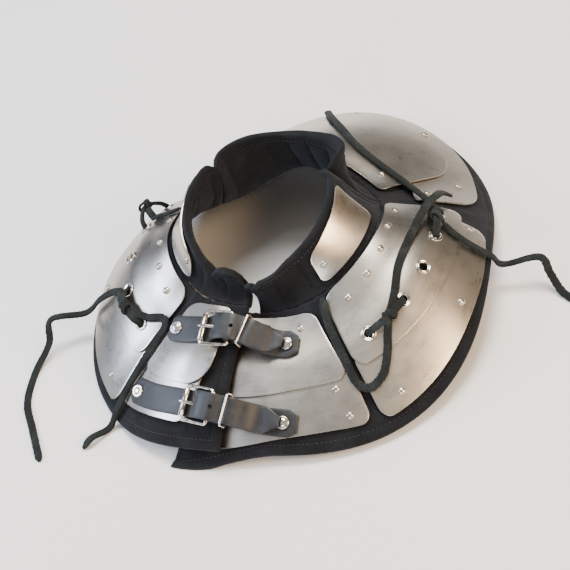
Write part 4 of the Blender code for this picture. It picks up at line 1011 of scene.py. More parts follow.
def bore_plate(item, plate, turn):
    """Cut the eyelet holes with one joined cutter."""
    bore = EYELET_BARREL_RADIUS + GAP
    data = bmesh.new()
    for angle, share in EYELETS:
        seat = float(plate_underside(plate, turn(angle), share)) + STEEL
        bmesh.ops.create_cone(data, cap_ends=True, segments=32, radius1=bore, radius2=bore,
                              depth=8 * STEEL, matrix=frame_on_skin(turn(angle), share, seat))
    cut_away(item, data)


def build_plate(name, plate, side):
    turn = mirrored if side == "left" else float
    angles, shares = plate_grid(plate)
    turned = 180.0 - angles if side == "left" else angles
    heights = plate_underside(plate, turned, shares)
    bottom, top = place(turned, shares, heights), place(turned, shares, heights + STEEL)
    radius, _ = profile(turned, shares)
    uvs = np.stack([np.radians(turned) * radius.mean(), shares * 0.12], -1)
    item = grid_solid(f"{name}_satin", top, bottom, uvs, steel, 40.0)
    if name.startswith("shoulder_plate_upper"):
        bore_plate(item, plate, turn)
    edge = item.modifiers.new("filed edge", "BEVEL")
    edge.width = 0.00038
    edge.segments = 2
    edge.limit_method = "ANGLE"
    edge.angle_limit = math.radians(50.0)
    edge.harden_normals = False
    apply_modifiers(item)
    item.data.shade_smooth()
    item.data.set_sharp_from_angle(angle=math.radians(50.0))
    return item


plates = {}
for key, plate in PLATES.items():
    for side in ("right", "left") if plate["handed"] else ("",):
        node = f"{key}_{side}" if side else key
        plates[node] = build_plate(node, plate, side)
print("plates", len(plates), "faces", sum(len(item.data.polygons) for item in plates.values()))

# %% [markdown]
# ## Rivets, eyelets and stitches by Geometry Nodes
# These repeat by the dozen or the hundred and differ only in place, so one node tree sets a
# master shape on points. Each point carries its own turn as a quaternion attribute. A seeded
# random value changes each copy's size a little, because rivets set one by one, and stitches, are
# never quite alike. The tree ends by realizing the copies and setting their material.

# %% Fastener tree
def fastener_tree():
    tree = bpy.data.node_groups.new("set_fasteners", "GeometryNodeTree")
    for name, kind in (("Places", "NodeSocketGeometry"), ("Master", "NodeSocketObject"),
                       ("Size", "NodeSocketFloat"), ("Variation", "NodeSocketFloat"),
                       ("Finish", "NodeSocketMaterial")):
        tree.interface.new_socket(name, in_out="INPUT", socket_type=kind)
    tree.interface.new_socket("Fasteners", in_out="OUTPUT", socket_type="NodeSocketGeometry")
    given = add_node(tree, "NodeGroupInput")
    master = add_node(tree, "GeometryNodeObjectInfo", {"transform_space": "ORIGINAL"},
                      {"As Instance": True}, {"Object": given.outputs["Master"]})
    turn = add_node(tree, "GeometryNodeInputNamedAttribute", {"data_type": "QUATERNION"}, {"Name": "turn"})
    least = add_node(tree, "ShaderNodeMath", {"operation": "SUBTRACT"})
    tree.links.new(given.outputs["Size"], least.inputs[0])
    tree.links.new(given.outputs["Variation"], least.inputs[1])
    most = add_node(tree, "ShaderNodeMath", {"operation": "ADD"})
    tree.links.new(given.outputs["Size"], most.inputs[0])
    tree.links.new(given.outputs["Variation"], most.inputs[1])
    size = add_node(tree, "FunctionNodeRandomValue", {"data_type": "FLOAT"}, {"Seed": 4})
    floats = [socket for socket in size.inputs if socket.type == "VALUE"]
    tree.links.new(least.outputs[0], floats[0])
    tree.links.new(most.outputs[0], floats[1])
    value = [socket for socket in size.outputs if socket.type == "VALUE"][0]
    rotation = [socket for socket in turn.outputs if socket.type == "ROTATION"][0]
    copies = add_node(tree, "GeometryNodeInstanceOnPoints", links={
        "Points": given.outputs["Places"], "Instance": master.outputs["Geometry"],
        "Rotation": rotation, "Scale": value})
    real = add_node(tree, "GeometryNodeRealizeInstances", links={"Geometry": copies.outputs["Instances"]})
    finish = add_node(tree, "GeometryNodeSetMaterial", links={
        "Geometry": real.outputs["Geometry"], "Material": given.outputs["Finish"]})
    out = add_node(tree, "NodeGroupOutput")
    tree.links.new(finish.outputs["Geometry"], out.inputs["Fasteners"])
    return tree


FASTENERS = fastener_tree()


def set_fasteners(name, matrices, master, material, variation=0.0):
    """A plain mesh of the master's copies, one for each matrix. The master is removed."""
    mesh = bpy.data.meshes.new(name)
    mesh.from_pydata([tuple(matrix.translation) for matrix in matrices], [], [])
    turn = mesh.attributes.new("turn", "QUATERNION", "POINT")
    for entry, matrix in zip(turn.data, matrices):
        entry.value = matrix.to_quaternion()
    item = bpy.data.objects.new(name, mesh)
    bpy.context.scene.collection.objects.link(item)
    modifier = item.modifiers.new("fasteners", "NODES")
    modifier.node_group = FASTENERS
    sockets = {entry.name: entry.identifier for entry in FASTENERS.interface.items_tree
               if entry.in_out == "INPUT"}
    modifier[sockets["Master"]] = master
    modifier[sockets["Size"]] = 1.0
    modifier[sockets["Variation"]] = variation
    modifier[sockets["Finish"]] = material
    apply_modifiers(item)
    item.data.shade_smooth()
    item.data.set_sharp_from_angle(angle=math.radians(50.0))
    bpy.data.objects.remove(master)
    return item


# %% [markdown]
# The plates' rivets are small round-head rivets, 6.8 mm across: a low dome that meets the
# sheet at a crisp edge.

# %% Rivets
RIVET_RADIUS = 0.0034
RIVET_RISE = 0.0019
rivet_outline = [(0.0, -0.0006), (RIVET_RADIUS, -0.0006), (RIVET_RADIUS, 0.0002)]
rivet_outline += [(RIVET_RADIUS * math.cos(t), 0.0002 + RIVET_RISE * math.sin(t))
                  for t in np.linspace(0.2, math.pi / 2, 6)[:-1]] + [(0.0, 0.0002 + RIVET_RISE)]
rivet_places = []
for plate in PLATES.values():
    for side in ("right", "left") if plate["handed"] else ("",):
        turn = mirrored if side == "left" else float
        for angle, share in plate["rivets"]:
            seat = float(plate_underside(plate, turn(angle), share)) + STEEL
            rivet_places.append(frame_on_skin(turn(angle), share, seat))
rivet_master = turned_solid("rivet", rivet_outline, 20, steel)
rivets = set_fasteners("plate_rivets", rivet_places, rivet_master, steel, 0.04)
print("rivets", len(rivet_places))

# %% [markdown]
# The eyelets are rolled: a wide flange with a raised outer ring, a dip, and a second ring
# where the barrel turns down into the hole. The middle one of each shoulder is empty.

# %% Eyelets
eyelet_outline = [
    (EYELET_RADIUS, 0.0003), (EYELET_RADIUS * 0.985, EYELET_RISE * 0.75), (EYELET_RADIUS * 0.93, EYELET_RISE),
    (EYELET_RADIUS * 0.86, EYELET_RISE * 0.92), (EYELET_RADIUS * 0.80, EYELET_RISE * 0.60),
    (EYELET_RADIUS * 0.72, EYELET_RISE * 0.62), (EYELET_RADIUS * 0.64, EYELET_RISE * 0.95),
    (EYELET_BORE_RADIUS * 1.06, EYELET_RISE * 0.80), (EYELET_BORE_RADIUS, EYELET_RISE * 0.2),
    (EYELET_BORE_RADIUS, -0.0035), (EYELET_BARREL_RADIUS, -0.0035), (EYELET_BARREL_RADIUS, 0.0003)]
eyelet_places, eyelet_nodes = [], []
for side, turn in (("right", float), ("left", mirrored)):
    for number, (angle, share) in enumerate(EYELETS, 1):
        seat = float(plate_underside(PLATES["shoulder_plate_upper"], turn(angle), share)) + STEEL
        eyelet_places.append(frame_on_skin(turn(angle), share, seat))
        eyelet_nodes.append(f"eyelet_{side}_{number}")
eyelet_master = turned_solid("eyelet", eyelet_outline, 32, nickel)
eyelets = set_fasteners("eyelet_rings", eyelet_places, eyelet_master, nickel)
print("eyelets", len(eyelet_places))


# %% [markdown]
# Topstitching follows the hem, the flap's edge and the collar's rim. Each stitch is a short
# thread end 3 mm long that dips into the cloth at both ends, so a stretched low ball is enough.

# %% Stitches
STITCH_LENGTH = 0.0030
STITCH_PITCH = 0.0042
STITCH_WIDTH = 0.0008
STITCH_SUNK = 0.0012          # the thread pulls itself this deep into the batting


def stitch_matrices(points, ups):
    """Places along a line of points, each turned along the line and off the cloth."""
    route = smooth_route(np.concatenate([points, ups], axis=1), STITCH_PITCH)
    tangents = np.gradient(route[:, :3], axis=0)
    matrices = []
    for row, tangent in zip(route, tangents):
        x_axis = Vector(tangent).normalized()
        up = Vector(row[3:6])
        y_axis = up.cross(x_axis).normalized()
        matrix = Matrix((x_axis, y_axis, x_axis.cross(y_axis))).transposed().to_4x4()
        matrix.translation = Vector(row[:3])
        matrices.append(matrix)
    return matrices


def yoke_line(angles, shares):
    normals = skin_normal(angles, shares)
    points = raw_skin(angles, shares) + SHIFT + (flap_lift(angles) - STITCH_SUNK)[..., None] * normals
    return stitch_matrices(points, normals)


def collar_line(name, start, end, rise, outside):
    angles = np.linspace(start, end, 60)
    rises = np.full_like(angles, rise)
    depth = np.full_like(angles, 0.13 if outside else 0.87)
    points, normals = collar_surface(name, angles, rises, depth)
    return stitch_matrices(points, normals if outside else -normals)


stitch_places = []
hem_angles = np.linspace(LOWER_FLAP_END + 2.0, UPPER_FLAP_END - 2.0, 200)
neck_radius, neck_height, hem_radius, hem_height, _, _ = section(hem_angles)
hem_slope = np.hypot(hem_radius - neck_radius, neck_height - hem_height)
hem_line = hem_share(hem_angles) - STITCH_INSET / hem_slope
stitch_places += yoke_line(hem_angles, hem_line)
for flap_angle, direction in ((UPPER_FLAP_END, -1.0), (LOWER_FLAP_END, 1.0)):
    shares = np.linspace(0.06, 0.92, 40) * float(hem_share(flap_angle))
    radius, _ = profile(np.full_like(shares, flap_angle), shares)
    angles = flap_angle + direction * np.degrees(STITCH_INSET / radius)
    stitch_places += yoke_line(angles, shares)
for name, (start, end) in COLLAR_SPANS.items():
    for outside in (True, False):
        stitch_places += collar_line(name, start + 4.0, end - 4.0, RIM_LINE, outside)


def stitch_master():
    data = bmesh.new()
    bmesh.ops.create_uvsphere(data, u_segments=6, v_segments=4, radius=0.5,
                              matrix=Matrix.Rotation(math.radians(90.0), 4, "Y"))
    data.transform(Matrix.Diagonal((STITCH_LENGTH, STITCH_WIDTH, STITCH_WIDTH, 1.0)))
    mesh = bpy.data.meshes.new("stitch")
    data.to_mesh(mesh)
    data.free()
    master = bpy.data.objects.new("stitch", mesh)
    bpy.context.scene.collection.objects.link(master)
    return master


stitches = set_fasteners("topstitching", stitch_places, stitch_master(), thread, 0.08)
print("stitches", len(stitch_places))

# %% [markdown]
# ## Straps and roller buckles
# Two leather straps close the back. Each long strap comes in under the roller, is held by the
# prong through a punched hole, passes through a wire keeper and ends in a blunt point by its
# cap rivet. The strap's middle line is given as distances and heights above what it lies on,
# and is rounded here into a smooth bend before the leather's section is swept along it.

# %% Fastening sizes
STRAP_WIDTH = 0.025
STRAP_THICKNESS = 0.0025
STRAP_TIP = 0.0060
STRAP_CLIP = 0.0050
STRAP_EASE = 0.0030
FOLD_LENGTH = 0.010
STEP_LENGTH = 0.026
HOLE_SHARE = 0.48
CAP_RADIUS = 0.0060
CAP_RISE = 0.0018
BUCKLE_LENGTH = 0.027
BUCKLE_WIRE_RADIUS = 0.00175
ROLLER_WALL = 0.0008
PRONG_RADIUS = 0.0011
KEEPER_RADIUS = 0.0011
KEEPER_REACH = 0.0147
KEEPER_SPAN = 0.0060
LOOP_RADIUS = BUCKLE_WIRE_RADIUS + 3 * GAP + STRAP_THICKNESS / 2.0
HEEL_HEIGHT = STRAP_THICKNESS / 2.0 + LOOP_RADIUS
ROLLER_RADIUS = BUCKLE_WIRE_RADIUS + GAP + ROLLER_WALL
ROLLER_HEIGHT = STRAP_THICKNESS + GAP + ROLLER_RADIUS
KEEPER_PLACE = BUCKLE_LENGTH + KEEPER_REACH
FASTENINGS = {
    "upper": {
        "plate": "back_plate_upper_left",
        "roller": 253.4, "right": 0.0860, "tip": 0.0745,
        "cap_left": 0.0290, "cap_right": 0.0765,
        "rows": ((235, 0.29), (253, 0.235), (268, 0.215), (280, 0.26), (298, 0.31)),
    },
    "lower": {
        "plate": "back_plate_lower_left",
        "roller": 257.7, "right": 0.0985, "tip": 0.0850,
        "cap_left": 0.0590, "cap_right": 0.0870,
        "rows": ((234, 0.745), (258, 0.725), (269, 0.75), (280, 0.79), (294, 0.83)),
    },
}


# %% Places along a strap
def strap_angle(fastening, along):
    angle = fastening["roller"]
    radius = float(profile(np.array(angle), follow(fastening["rows"], 1, angle))[0])
    return angle + math.degrees(along / radius)


def strap_frame(fastening, along):
    """Normal and crosswise direction of a fastening; both stay steady through the buckle."""
    middle, reach = BUCKLE_LENGTH / 2.0, BUCKLE_LENGTH
    if -reach < along < 2 * reach:
        given, steady = (-reach, 0.0, reach, 2 * reach), (-reach, middle, middle, 2 * reach)
        along = float(np.interp(along, given, steady))
    angle = strap_angle(fastening, along)
    normal = skin_normal(angle, follow(fastening["rows"], 1, angle))
    ahead = place(angle + 0.5, follow(fastening["rows"], 1, angle + 0.5), FLAP_LIFT)
    behind = place(angle - 0.5, follow(fastening["rows"], 1, angle - 0.5), FLAP_LIFT)
    crosswise = np.cross(ahead - behind, normal)
    return normal, crosswise / np.linalg.norm(crosswise)


def strap_place(fastening, along, across, height):
    angle = strap_angle(fastening, along)
    normal, crosswise = strap_frame(fastening, along)
    return place(angle, follow(fastening["rows"], 1, angle)) + height * normal + across * crosswise


def strap_ground(fastening, along):
    """Height of what lies under the straps."""
    angle = strap_angle(fastening, along)
    neck_radius, neck_height, hem_radius, hem_height, _, _ = section(angle)
    slope = math.hypot(hem_radius - neck_radius, neck_height - hem_height)
    edge = follow(fastening["rows"], 1, angle) + 0.5 * STRAP_WIDTH / slope
    step = KEEPER_PLACE + 0.2 * STRAP_WIDTH
    fall = smooth_step((along - step) / STEP_LENGTH)
    seat = plate_underside(PLATES[fastening["plate"]], angle, edge) + STEEL
    return float(seat + 2.5 * GAP - flap_lift(angle) * fall)


def prong_height(along):
    start = ROLLER_HEIGHT + ROLLER_RADIUS + GAP + PRONG_RADIUS
    end = HEEL_HEIGHT + BUCKLE_WIRE_RADIUS + GAP + PRONG_RADIUS
    return start + (end - start) * along / BUCKLE_LENGTH


def long_strap_path(fastening):
    flat = STRAP_THICKNESS / 2.0
    hole = HOLE_SHARE * BUCKLE_LENGTH
    over_prong = prong_height(1.5 * hole) + PRONG_RADIUS + flat + 2 * GAP
    over_loop = HEEL_HEIGHT + LOOP_RADIUS + STRAP_THICKNESS + 2 * GAP
    over_wire = 2 * KEEPER_RADIUS + 2 * STRAP_THICKNESS - flat + 4 * GAP
    step = KEEPER_PLACE + 0.2 * STRAP_WIDTH
    on_strap = 2 * STRAP_THICKNESS - flat + 2 * GAP
    cap = -fastening["cap_left"]
    start = cap - 1.25 * CAP_RADIUS
    return (
        (start, flat + GAP), (start + 0.4 * CAP_RADIUS, flat + GAP),
        (cap, flat + GAP), (cap + CAP_RADIUS, flat + GAP),
        (0.6 * cap, flat + GAP), (0.4 * cap, flat), (0.2 * cap, flat), (-STRAP_EASE, flat),
        (STRAP_EASE, flat), (0.6 * hole, 0.5 * prong_height(hole)),
        (hole, prong_height(hole)), (1.5 * hole, over_prong),
        (BUCKLE_LENGTH, over_loop), (BUCKLE_LENGTH + 0.5 * FOLD_LENGTH, over_loop - 2 * GAP),
        (KEEPER_PLACE - KEEPER_SPAN / 3.0, over_wire), (KEEPER_PLACE + KEEPER_SPAN / 1.5, over_wire),
        (step + 0.25 * STEP_LENGTH, on_strap + 0.5 * STRAP_THICKNESS),
        (step + 0.5 * STEP_LENGTH, on_strap + 0.8 * STRAP_THICKNESS),
        (step + 0.75 * STEP_LENGTH, on_strap + 0.8 * STRAP_THICKNESS),
        (fastening["tip"] - STRAP_TIP, on_strap + CAP_RISE + 5 * GAP),
        (fastening["tip"], on_strap + CAP_RISE + 5 * GAP),
    )


def short_strap_path(fastening):
    flat = STRAP_THICKNESS / 2.0
    over_wire = 2 * KEEPER_RADIUS + 2 * GAP + flat
    step = KEEPER_PLACE + 0.2 * STRAP_WIDTH
    stations = [(BUCKLE_LENGTH + FOLD_LENGTH, flat), (BUCKLE_LENGTH + 0.4 * FOLD_LENGTH, flat)]
    for turn in range(-90, -271, -15):
        bend = math.radians(turn)
        stations.append((BUCKLE_LENGTH + LOOP_RADIUS * math.cos(bend),
                         HEEL_HEIGHT + LOOP_RADIUS * math.sin(bend)))
    stations += [
        (BUCKLE_LENGTH + 0.5 * FOLD_LENGTH, HEEL_HEIGHT + LOOP_RADIUS - 2 * GAP),
        (KEEPER_PLACE - KEEPER_SPAN / 3.0, over_wire), (KEEPER_PLACE + KEEPER_SPAN / 1.5, over_wire),
        (step + 0.25 * STEP_LENGTH, flat + 2 * GAP), (step + 0.5 * STEP_LENGTH, flat + GAP),
        (step + 0.75 * STEP_LENGTH, flat + 2 * GAP), (step + STEP_LENGTH, flat),
        (fastening["right"] - STRAP_CLIP, flat), (fastening["right"], flat),
    ]
    return stations


# %% Leather straps
def smooth_stations(stations, spacing):
    """The strap's line in its own plane, rounded and evenly spaced."""
    points = np.array([(along, height, 0.0) for along, height in stations])
    return smooth_route(points, spacing)[:, :2]


def strap_section(width, thickness, rounding):
    """Rounded rectangle, counter-clockwise, with two points in each corner."""
    half, up = width / 2.0, thickness / 2.0
    flat = half - rounding
    spans = np.linspace(-flat, flat, 9)
    edge = [(half - 0.35 * rounding, -up + 0.2 * rounding), (half, -up + rounding), (half, up - rounding),
            (half - 0.35 * rounding, up - 0.2 * rounding)]
    lower = [(a, -up) for a in spans]
    upper = [(a, up) for a in spans[::-1]]
    return lower + edge + upper + [(-a, b) for a, b in edge[::-1]]


def build_strap(name, fastening, stations, ends):
    line = smooth_stations(stations, 0.0013)
    tangents = np.gradient(line, axis=0)
    tangents /= np.linalg.norm(tangents, axis=1, keepdims=True)
    travelled = np.concatenate([[0.0], np.cumsum(np.linalg.norm(np.diff(line, axis=0), axis=1))])
    rings, uvs = [], []
    for (along, height), tangent, gone in zip(line, tangents, travelled):
        left = travelled[-1] - gone
        first = ends[0] + (1.0 - ends[0]) * min(1.0, gone / ends[1])
        last = ends[2] + (1.0 - ends[2]) * min(1.0, left / ends[3])
        width = STRAP_WIDTH * min(first, last) - 0.0003
        normal, crosswise = strap_frame(fastening, along)
        centre = strap_place(fastening, along, 0.0, height + strap_ground(fastening, along))
        ahead = np.cross(normal, crosswise)
        thick = tangent[0] * normal - tangent[1] * ahead
        ring = []
        for across, up in strap_section(width, STRAP_THICKNESS, 0.0007):
            up = up - 0.00022 * (2.0 * across / STRAP_WIDTH) ** 4 * (up > 0.0)
            ring.append(centre + across * crosswise + up * thick)
            uvs.append((gone, across))
        rings.append(ring)
    around = len(rings[0])
    faces = []
    for ring in range(len(rings) - 1):
        for k in range(around):
            follower = (k + 1) % around
            faces.append((ring * around + k, ring * around + follower,
                          (ring + 1) * around + follower, (ring + 1) * around + k))
    faces.append(tuple(range(around)))
    faces.append(tuple(range((len(rings) - 1) * around, len(rings) * around)))
    points = [point for ring in rings for point in ring]
    return finish_mesh(name, points, faces, uvs, leather, 55.0)


def punch(item, fastening, holes, radius):
    """Cut round holes through a strap: pairs of (along, height) at each hole's two ends."""
    data = bmesh.new()
    for low, high in holes:
        start = Vector(strap_place(fastening, low[0], 0.0, low[1]))
        end = Vector(strap_place(fastening, high[0], 0.0, high[1]))
        matrix = (end - start).to_track_quat("Z", "Y").to_matrix().to_4x4()
        matrix.translation = (start + end) / 2.0
        bmesh.ops.create_cone(data, cap_ends=True, segments=20, radius1=radius, radius2=radius,
                              depth=(end - start).length, matrix=matrix)
    cut_away(item, data, 45.0)


def buckle_matrix(fastening):
    """Frame with its origin on the heel bar, X towards the roller and Z off the strap."""
    heel_ground = strap_ground(fastening, BUCKLE_LENGTH)
    heel = strap_place(fastening, BUCKLE_LENGTH, 0.0, heel_ground + HEEL_HEIGHT)
    roller = strap_place(fastening, 0.0, 0.0, strap_ground(fastening, 0.0) + ROLLER_HEIGHT)
    aside = strap_place(fastening, BUCKLE_LENGTH, STRAP_WIDTH / 2.0, heel_ground + HEEL_HEIGHT) - heel
    up = np.cross(aside, roller - heel)
    if up[2] < 0.0:
        up = -up
    x_axis = Vector(roller - heel).normalized()
    y_axis = Vector(up).cross(x_axis).normalized()
    matrix = Matrix((x_axis, y_axis, x_axis.cross(y_axis))).transposed().to_4x4()
    matrix.translation = Vector(heel)
    return matrix, float(np.linalg.norm(roller - heel))


def cut_slot(item, fastening):
    """Slot in the folded strap that lets the prong out of the heel bar."""
    matrix, _ = buckle_matrix(fastening)
    half = PRONG_RADIUS + 1.5 * GAP
    data = bmesh.new()
    bmesh.ops.create_cube(data, size=1.0)
    size = Matrix.Diagonal((4 * LOOP_RADIUS, 2 * half, 4.6 * LOOP_RADIUS, 1.0))
    data.transform(matrix @ Matrix.Translation((0.6 * LOOP_RADIUS, 0.0, 0.0)) @ size)
    bmesh.ops.recalc_face_normals(data, faces=data.faces)
    if data.calc_volume(signed=True) < 0.0:
        bmesh.ops.reverse_faces(data, faces=data.faces)
    cut_away(item, data)
    item.data.set_sharp_from_angle(angle=math.radians(45.0))


straps = {}
SPARE_HOLE = 0.0315           # the second punched hole, between the prong and the keeper
for level, fastening in FASTENINGS.items():
    long_name, short_name = f"strap_{level}_long", f"strap_{level}_buckle"
    long_strap = build_strap(f"{long_name}_leather", fastening, long_strap_path(fastening),
                             (0.72, 0.004, 0.38, 0.013))
    slant = [(share * HOLE_SHARE * BUCKLE_LENGTH, prong_height(share * HOLE_SHARE * BUCKLE_LENGTH)
              + strap_ground(fastening, share * HOLE_SHARE * BUCKLE_LENGTH)) for share in (0.4, 1.65)]
    level_hole = [(SPARE_HOLE, strap_ground(fastening, SPARE_HOLE) + height) for height in (0.0055, 0.0145)]
    punch(long_strap, fastening, [slant, level_hole], 0.0018)
    short_strap = build_strap(f"{short_name}_leather", fastening, short_strap_path(fastening),
                              (1.0, 0.002, 0.62, 0.007))
    cut_slot(short_strap, fastening)
    straps[long_name], straps[short_name] = long_strap, short_strap
print("straps", list(straps))

# %% [markdown]
# ## Buckle hardware
# A roller buckle is a bent wire frame with a loose tube on its far bar. The prong is a wire
# that is wrapped around the heel bar and flattened a little where it lies on the roller.
# Wires are round rings swept along rounded paths, and the cap rivets are turned.

# %% Wires, rollers and caps
def ring_outline(radius, steps=16, flat=1.0):
    turns = [2 * math.pi * k / steps for k in range(steps)]
    points = [(radius * math.cos(turn), flat * radius * math.sin(turn)) for turn in turns]
    return lambda ring: points


def wire(name, points, radius, matrix, closed, flat=1.0):
    """Round wire along points in a local frame."""
    points = np.array(points, float)
    if closed:
        before, after = np.roll(points, 1, axis=0), np.roll(points, -1, axis=0)
    else:
        before = np.concatenate([points[:1], points[:-1]])
        after = np.concatenate([points[1:], points[-1:]])
    tangents = after - before
    tangents /= np.linalg.norm(tangents, axis=1, keepdims=True)
    side = None
    centres, sides, ups = [], [], []
    for point, tangent in zip(points, tangents):
        guess = np.array((0.0, 0.0, 1.0)) if side is None else side
        if abs(tangent @ guess) > 0.95:
            guess = np.array((1.0, 0.0, 0.0))
        side = guess - tangent * (tangent @ guess)
        side /= np.linalg.norm(side)
        centres.append(np.array(matrix @ Vector(point)))
        sides.append(np.array(matrix.to_3x3() @ Vector(side)))
        ups.append(np.array(matrix.to_3x3() @ Vector(np.cross(tangent, side))))
    return swept_solid(name, centres, sides, ups, ring_outline(radius, flat=flat), nickel, closed)


def rounded_loop(half_x, half_y, corner, start_x):
    points = []
    for sign_x, sign_y, first in ((1, 1, 0), (-1, 1, 90), (-1, -1, 180), (1, -1, 270)):
        centre_x = start_x + sign_x * (half_x - corner)
        centre_y = sign_y * (half_y - corner)
        for turn in range(0, 91, 10):
            bend = math.radians(first + turn)
            points.append((centre_x + corner * math.cos(bend), centre_y + corner * math.sin(bend), 0.0))
    return points


def build_roller(name, axis, half_length):
    inner = BUCKLE_WIRE_RADIUS + GAP
    lip = 0.0004
    outline = [(inner, -half_length), (ROLLER_RADIUS - lip, -half_length), (ROLLER_RADIUS, lip - half_length),
               (ROLLER_RADIUS, half_length - lip), (ROLLER_RADIUS - lip, half_length), (inner, half_length)]
    roller = turned_solid(name, outline, 28, nickel)
    roller.data.transform(axis)
    return roller


hardware = {}
for level, fastening in FASTENINGS.items():
    matrix, length = buckle_matrix(fastening)
    half_width = STRAP_WIDTH / 2.0 + 4 * GAP + BUCKLE_WIRE_RADIUS
    corner = 1.4 * BUCKLE_WIRE_RADIUS
    loop = rounded_loop(length / 2.0, half_width, corner, length / 2.0)
    name = f"buckle_{level}_frame"
    hardware[name] = wire(f"{name}_wire", loop, BUCKLE_WIRE_RADIUS, matrix, True)
    axis = matrix @ Matrix.Translation((length, 0.0, 0.0)) @ Matrix.Rotation(math.radians(90.0), 4, "X")
    name = f"buckle_{level}_roller"
    hardware[name] = build_roller(f"{name}_tube", axis, half_width - corner - 2 * GAP)
    ring = BUCKLE_WIRE_RADIUS + GAP + PRONG_RADIUS
    rest = ROLLER_RADIUS + GAP + PRONG_RADIUS
    path = [(ring * math.cos(math.radians(turn)), 0.0, ring * math.sin(math.radians(turn)))
            for turn in range(-60, -276, -12)]
    path += [(0.25 * length, 0.0, 0.75 * ring + 0.25 * rest), (0.5 * length, 0.0, (ring + rest) / 2.0),
             (0.8 * length, 0.0, rest), (length, 0.0, rest), (length + 0.6 * ROLLER_RADIUS, 0.0, rest - 0.0001),
             (length + ROLLER_RADIUS, 0.0, rest - 0.0005)]
    path = smooth_route(path, 0.0012)
    name = f"buckle_{level}_prong"
    hardware[name] = wire(f"{name}_wire", path, PRONG_RADIUS, matrix, False, 1.25)
    along = KEEPER_PLACE + KEEPER_SPAN / 6.0
    ground = strap_ground(fastening, along)
    low = KEEPER_RADIUS + GAP
    high = low + 2 * KEEPER_RADIUS + 2 * STRAP_THICKNESS + 8 * GAP
    half = STRAP_WIDTH / 2.0 + 2 * GAP + KEEPER_RADIUS
    bend = 1.5 * KEEPER_RADIUS
    middle = (low + high) / 2.0
    keeper_path = []
    for sign_x, sign_y, first in ((1, 1, 0), (-1, 1, 90), (-1, -1, 180), (1, -1, 270)):
        for turn in range(0, 91, 18):
            angle = math.radians(first + turn)
            across = sign_x * (half - bend) + bend * math.cos(angle)
            height = middle + sign_y * ((high - low) / 2.0 - bend) + bend * math.sin(angle)
            keeper_path.append(strap_place(fastening, along, across, ground + height))
    name = f"keeper_{level}"
    hardware[name] = wire(f"{name}_wire", keeper_path, KEEPER_RADIUS, Matrix.Identity(4), True)

cap_outline = [(0.0, 0.0), (CAP_RADIUS, 0.0), (CAP_RADIUS, 0.30 * CAP_RISE), (0.95 * CAP_RADIUS, 0.62 * CAP_RISE),
               (0.80 * CAP_RADIUS, 0.74 * CAP_RISE), (0.66 * CAP_RADIUS, 0.62 * CAP_RISE),
               (0.58 * CAP_RADIUS, 0.66 * CAP_RISE), (0.48 * CAP_RADIUS, 0.92 * CAP_RISE),
               (0.26 * CAP_RADIUS, CAP_RISE), (0.0, CAP_RISE)]
cap_places, cap_nodes = [], []
for level, fastening in FASTENINGS.items():
    for side, along in (("left", -fastening["cap_left"]), ("right", fastening["cap_right"])):
        height = strap_ground(fastening, along) + STRAP_THICKNESS + (6 * GAP if along < 0.0 else 3 * GAP)
        middle = strap_place(fastening, along, 0.0, height)
        x_axis = Vector(strap_place(fastening, along + CAP_RADIUS / 4.0, 0.0, height) - middle).normalized()
        lean = Vector(strap_place(fastening, along, CAP_RADIUS / 4.0, height) - middle)
        up = lean.cross(x_axis).normalized()
        matrix = Matrix((x_axis, up.cross(x_axis), up)).transposed().to_4x4()
        matrix.translation = Vector(middle)
        cap_places.append(matrix)
        cap_nodes.append(f"strap_rivet_{level}_{side}")
caps = set_fasteners("strap_cap_rivets", cap_places, turned_solid("cap", cap_outline, 36, nickel), nickel)
print("hardware", list(hardware), "caps", len(cap_places))

# %% [markdown]
# ## Knotted laces
# Between two eyelets each lace rises out of one, is tied in a half knot and dips into the
# next. The strand takes the solids' route, and the knot's turn is a second flat strip that
# wraps around its middle.

# %% Lace knots
LACE_KNOTS = {
    "lace_front_right": (
        (0.0, 0.49, 0.0008), (0.0, 0.49, 0.0065), (2.5, 0.47, 0.0125), (6.0, 0.455, 0.0145),
        (10.0, 0.46, 0.0135), (13.2, 0.49, 0.0065), (13.2, 0.49, 0.0008),
    ),
    "lace_back_right": (
        (-42.8, 0.43, 0.0008), (-42.8, 0.43, 0.0065), (-40.0, 0.44, 0.0120), (-35.0, 0.45, 0.0135),
        (-30.5, 0.455, 0.0120), (-27.7, 0.45, 0.0065), (-27.7, 0.45, 0.0008),
    ),
    "lace_front_left": (
        (180.0, 0.49, 0.0008), (180.0, 0.49, 0.0065), (178.0, 0.50, 0.0140), (173.5, 0.51, 0.0200),
        (169.0, 0.50, 0.0140), (166.8, 0.49, 0.0065), (166.8, 0.49, 0.0008),
    ),
    "lace_back_left": (
        (207.7, 0.45, 0.0008), (207.7, 0.45, 0.0065), (210.5, 0.455, 0.0120), (215.0, 0.45, 0.0135),
        (220.0, 0.44, 0.0120), (222.8, 0.43, 0.0065), (222.8, 0.43, 0.0008),
    ),
}
KNOT_TURN_RADIUS = 0.0046


def join_pieces(name, pieces):
    """One object of several, by merging their meshes."""
    data = bmesh.new()
    for piece in pieces:
        data.from_mesh(piece.data)
    mesh = bpy.data.meshes.new(name)
    data.to_mesh(mesh)
    data.free()
    mesh.materials.append(pieces[0].data.materials[0])
    mesh.shade_smooth()
    item = bpy.data.objects.new(name, mesh)
    bpy.context.scene.collection.objects.link(item)
    for piece in pieces:
        bpy.data.objects.remove(piece)
    return item


